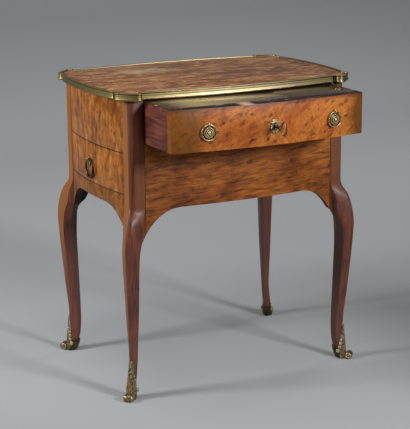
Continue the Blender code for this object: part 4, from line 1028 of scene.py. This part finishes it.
class TABLE_OT_stage(bpy.types.Operator):
    """Seamless paper, studio lights and the photograph's camera"""

    bl_idname = "table.stage"
    bl_label = "Studio"

    def execute(self, context):
        scene = context.scene
        stage = scene.table_stage
        self.add_paper(stage)
        middle = MIDDLE + 0.4 * UP
        for name, place, target, size, power in (
                ("front_softbox", (1.35, -3.6, 2.0), middle, 0.8, stage.key),
                ("left_softbox", (-2.6, 0.35, 1.6), middle, 0.6, stage.side),
                ("overhead_softbox", (-0.4, -0.5, 3.0), middle, 1.8, 31.0),
                ("backdrop_softbox", (2.3, 0.8, 2.6), Vector((1.9, 3.4, 0.5)), 1.2, 22.0)):
            lamp = bpy.data.lights.new(name, "AREA")
            lamp.shape = "SQUARE"
            lamp.size = size
            lamp.energy = power
            stand = link(name, lamp)
            stand.location = place
            stand.rotation_euler = (target - Vector(place)).to_track_quat("-Z", "Y").to_euler()
        scene.world = bpy.data.worlds.new("studio_air")
        scene.world.use_nodes = True
        feed(scene.world.node_tree.nodes["Background"], {"Color": "#c8ccd0", "Strength": 0.12})
        scene.view_settings.view_transform = "Standard"
        self.add_camera(scene)
        return {"FINISHED"}

    def add_paper(self, stage):
        """A wide sheet on the floor that bends up behind the table into a wall."""
        wide, deep, forward = 14, 7.2, 1.2
        bend, turns, wall = 1.6, 8, 4
        bpy.ops.mesh.primitive_plane_add(size=1)
        paper = bpy.context.view_layer.objects.active
        paper.name = "seamless_floor"
        paper.data.transform(Matrix.Translation((0, -forward, 0)) @ Matrix.Diagonal((wide, deep, 1, 1)))
        back = max(vertex.co.y for vertex in paper.data.vertices)
        pick(paper, lambda vertex: vertex.co.y > back - 0.1 * MM)
        step = bend * math.pi / 2 / turns
        for turn in range(turns):
            angle = math.radians(90 * (turn + 0.5) / turns)
            bpy.ops.mesh.extrude_region_move(
                TRANSFORM_OT_translate={"value": (0, step * math.cos(angle), step * math.sin(angle))})
        bpy.ops.mesh.extrude_region_move(TRANSFORM_OT_translate={"value": (0, 0, wall)})
        leave()
        smooth(paper, 60)
        LOOKS["paper"] = studio_paper(tuple(stage.floor))
        finish_with(paper, "paper")

    def add_camera(self, scene):
        """Camera solved from the table's feet, posts and rim in the 410 x 429 photograph."""
        azimuth, elevation, roll = math.radians(-26.8805), math.radians(14.5735), math.radians(-0.5048)
        target, distance = Vector((0.0066, 0.099, 0.3628)), 3.35
        focal_pixels, tall_pixels, sensor = 1347.2, 429, 36.0
        back = Vector((math.sin(azimuth) * math.cos(elevation), -math.cos(azimuth) * math.cos(elevation),
                       math.sin(elevation)))
        right = Vector((math.cos(azimuth), math.sin(azimuth), 0))
        up = back.cross(right)
        across = math.cos(roll) * right + math.sin(roll) * up
        rise = math.cos(roll) * up - math.sin(roll) * right
        lens = bpy.data.cameras.new("photograph_camera")
        lens.sensor_fit = "AUTO"
        lens.sensor_width = sensor
        lens.lens = sensor * focal_pixels / tall_pixels
        camera = link("photograph_camera", lens)
        turned = Matrix((across, rise, back)).transposed().to_4x4()
        camera.matrix_world = Matrix.Translation(target + back * distance) @ turned
        scene.camera = camera


class TABLE_PT_panel(bpy.types.Panel):
    """Lists the table's pieces in the order in which they are made"""

    bl_label = "Writing table"
    bl_idname = "TABLE_PT_panel"
    bl_space_type = "VIEW_3D"
    bl_region_type = "UI"
    bl_category = "Writing table"

    def draw(self, context):
        for step in STEPS:
            self.layout.operator(step.bl_idname)
        for scene_name in GROUPS:
            group = getattr(context.scene, scene_name)
            for name in group.__annotations__:
                self.layout.prop(group, name)


STEPS = (TABLE_OT_materials, TABLE_OT_casework, TABLE_OT_drawers, TABLE_OT_rim, TABLE_OT_sabots,
         TABLE_OT_pulls, TABLE_OT_lock, TABLE_OT_stage)
GROUPS = {"table_woods": TableWoods, "table_metals": TableMetals, "table_stage": TableStage}
CLASSES = (*GROUPS.values(), *STEPS, TABLE_PT_panel)


def register():
    for made in CLASSES:
        bpy.utils.register_class(made)
    for scene_name, group in GROUPS.items():
        setattr(bpy.types.Scene, scene_name, bpy.props.PointerProperty(type=group))


def unregister():
    for scene_name in GROUPS:
        delattr(bpy.types.Scene, scene_name)
    for made in reversed(CLASSES):
        bpy.utils.unregister_class(made)


def main():
    register()
    bpy.ops.table.materials()
    bpy.ops.table.casework()
    bpy.ops.table.drawers()
    bpy.ops.table.rim()
    bpy.ops.table.sabots()
    bpy.ops.table.pulls()
    bpy.ops.table.lock()
    bpy.ops.table.stage()


if __name__ == "__main__":
    main()
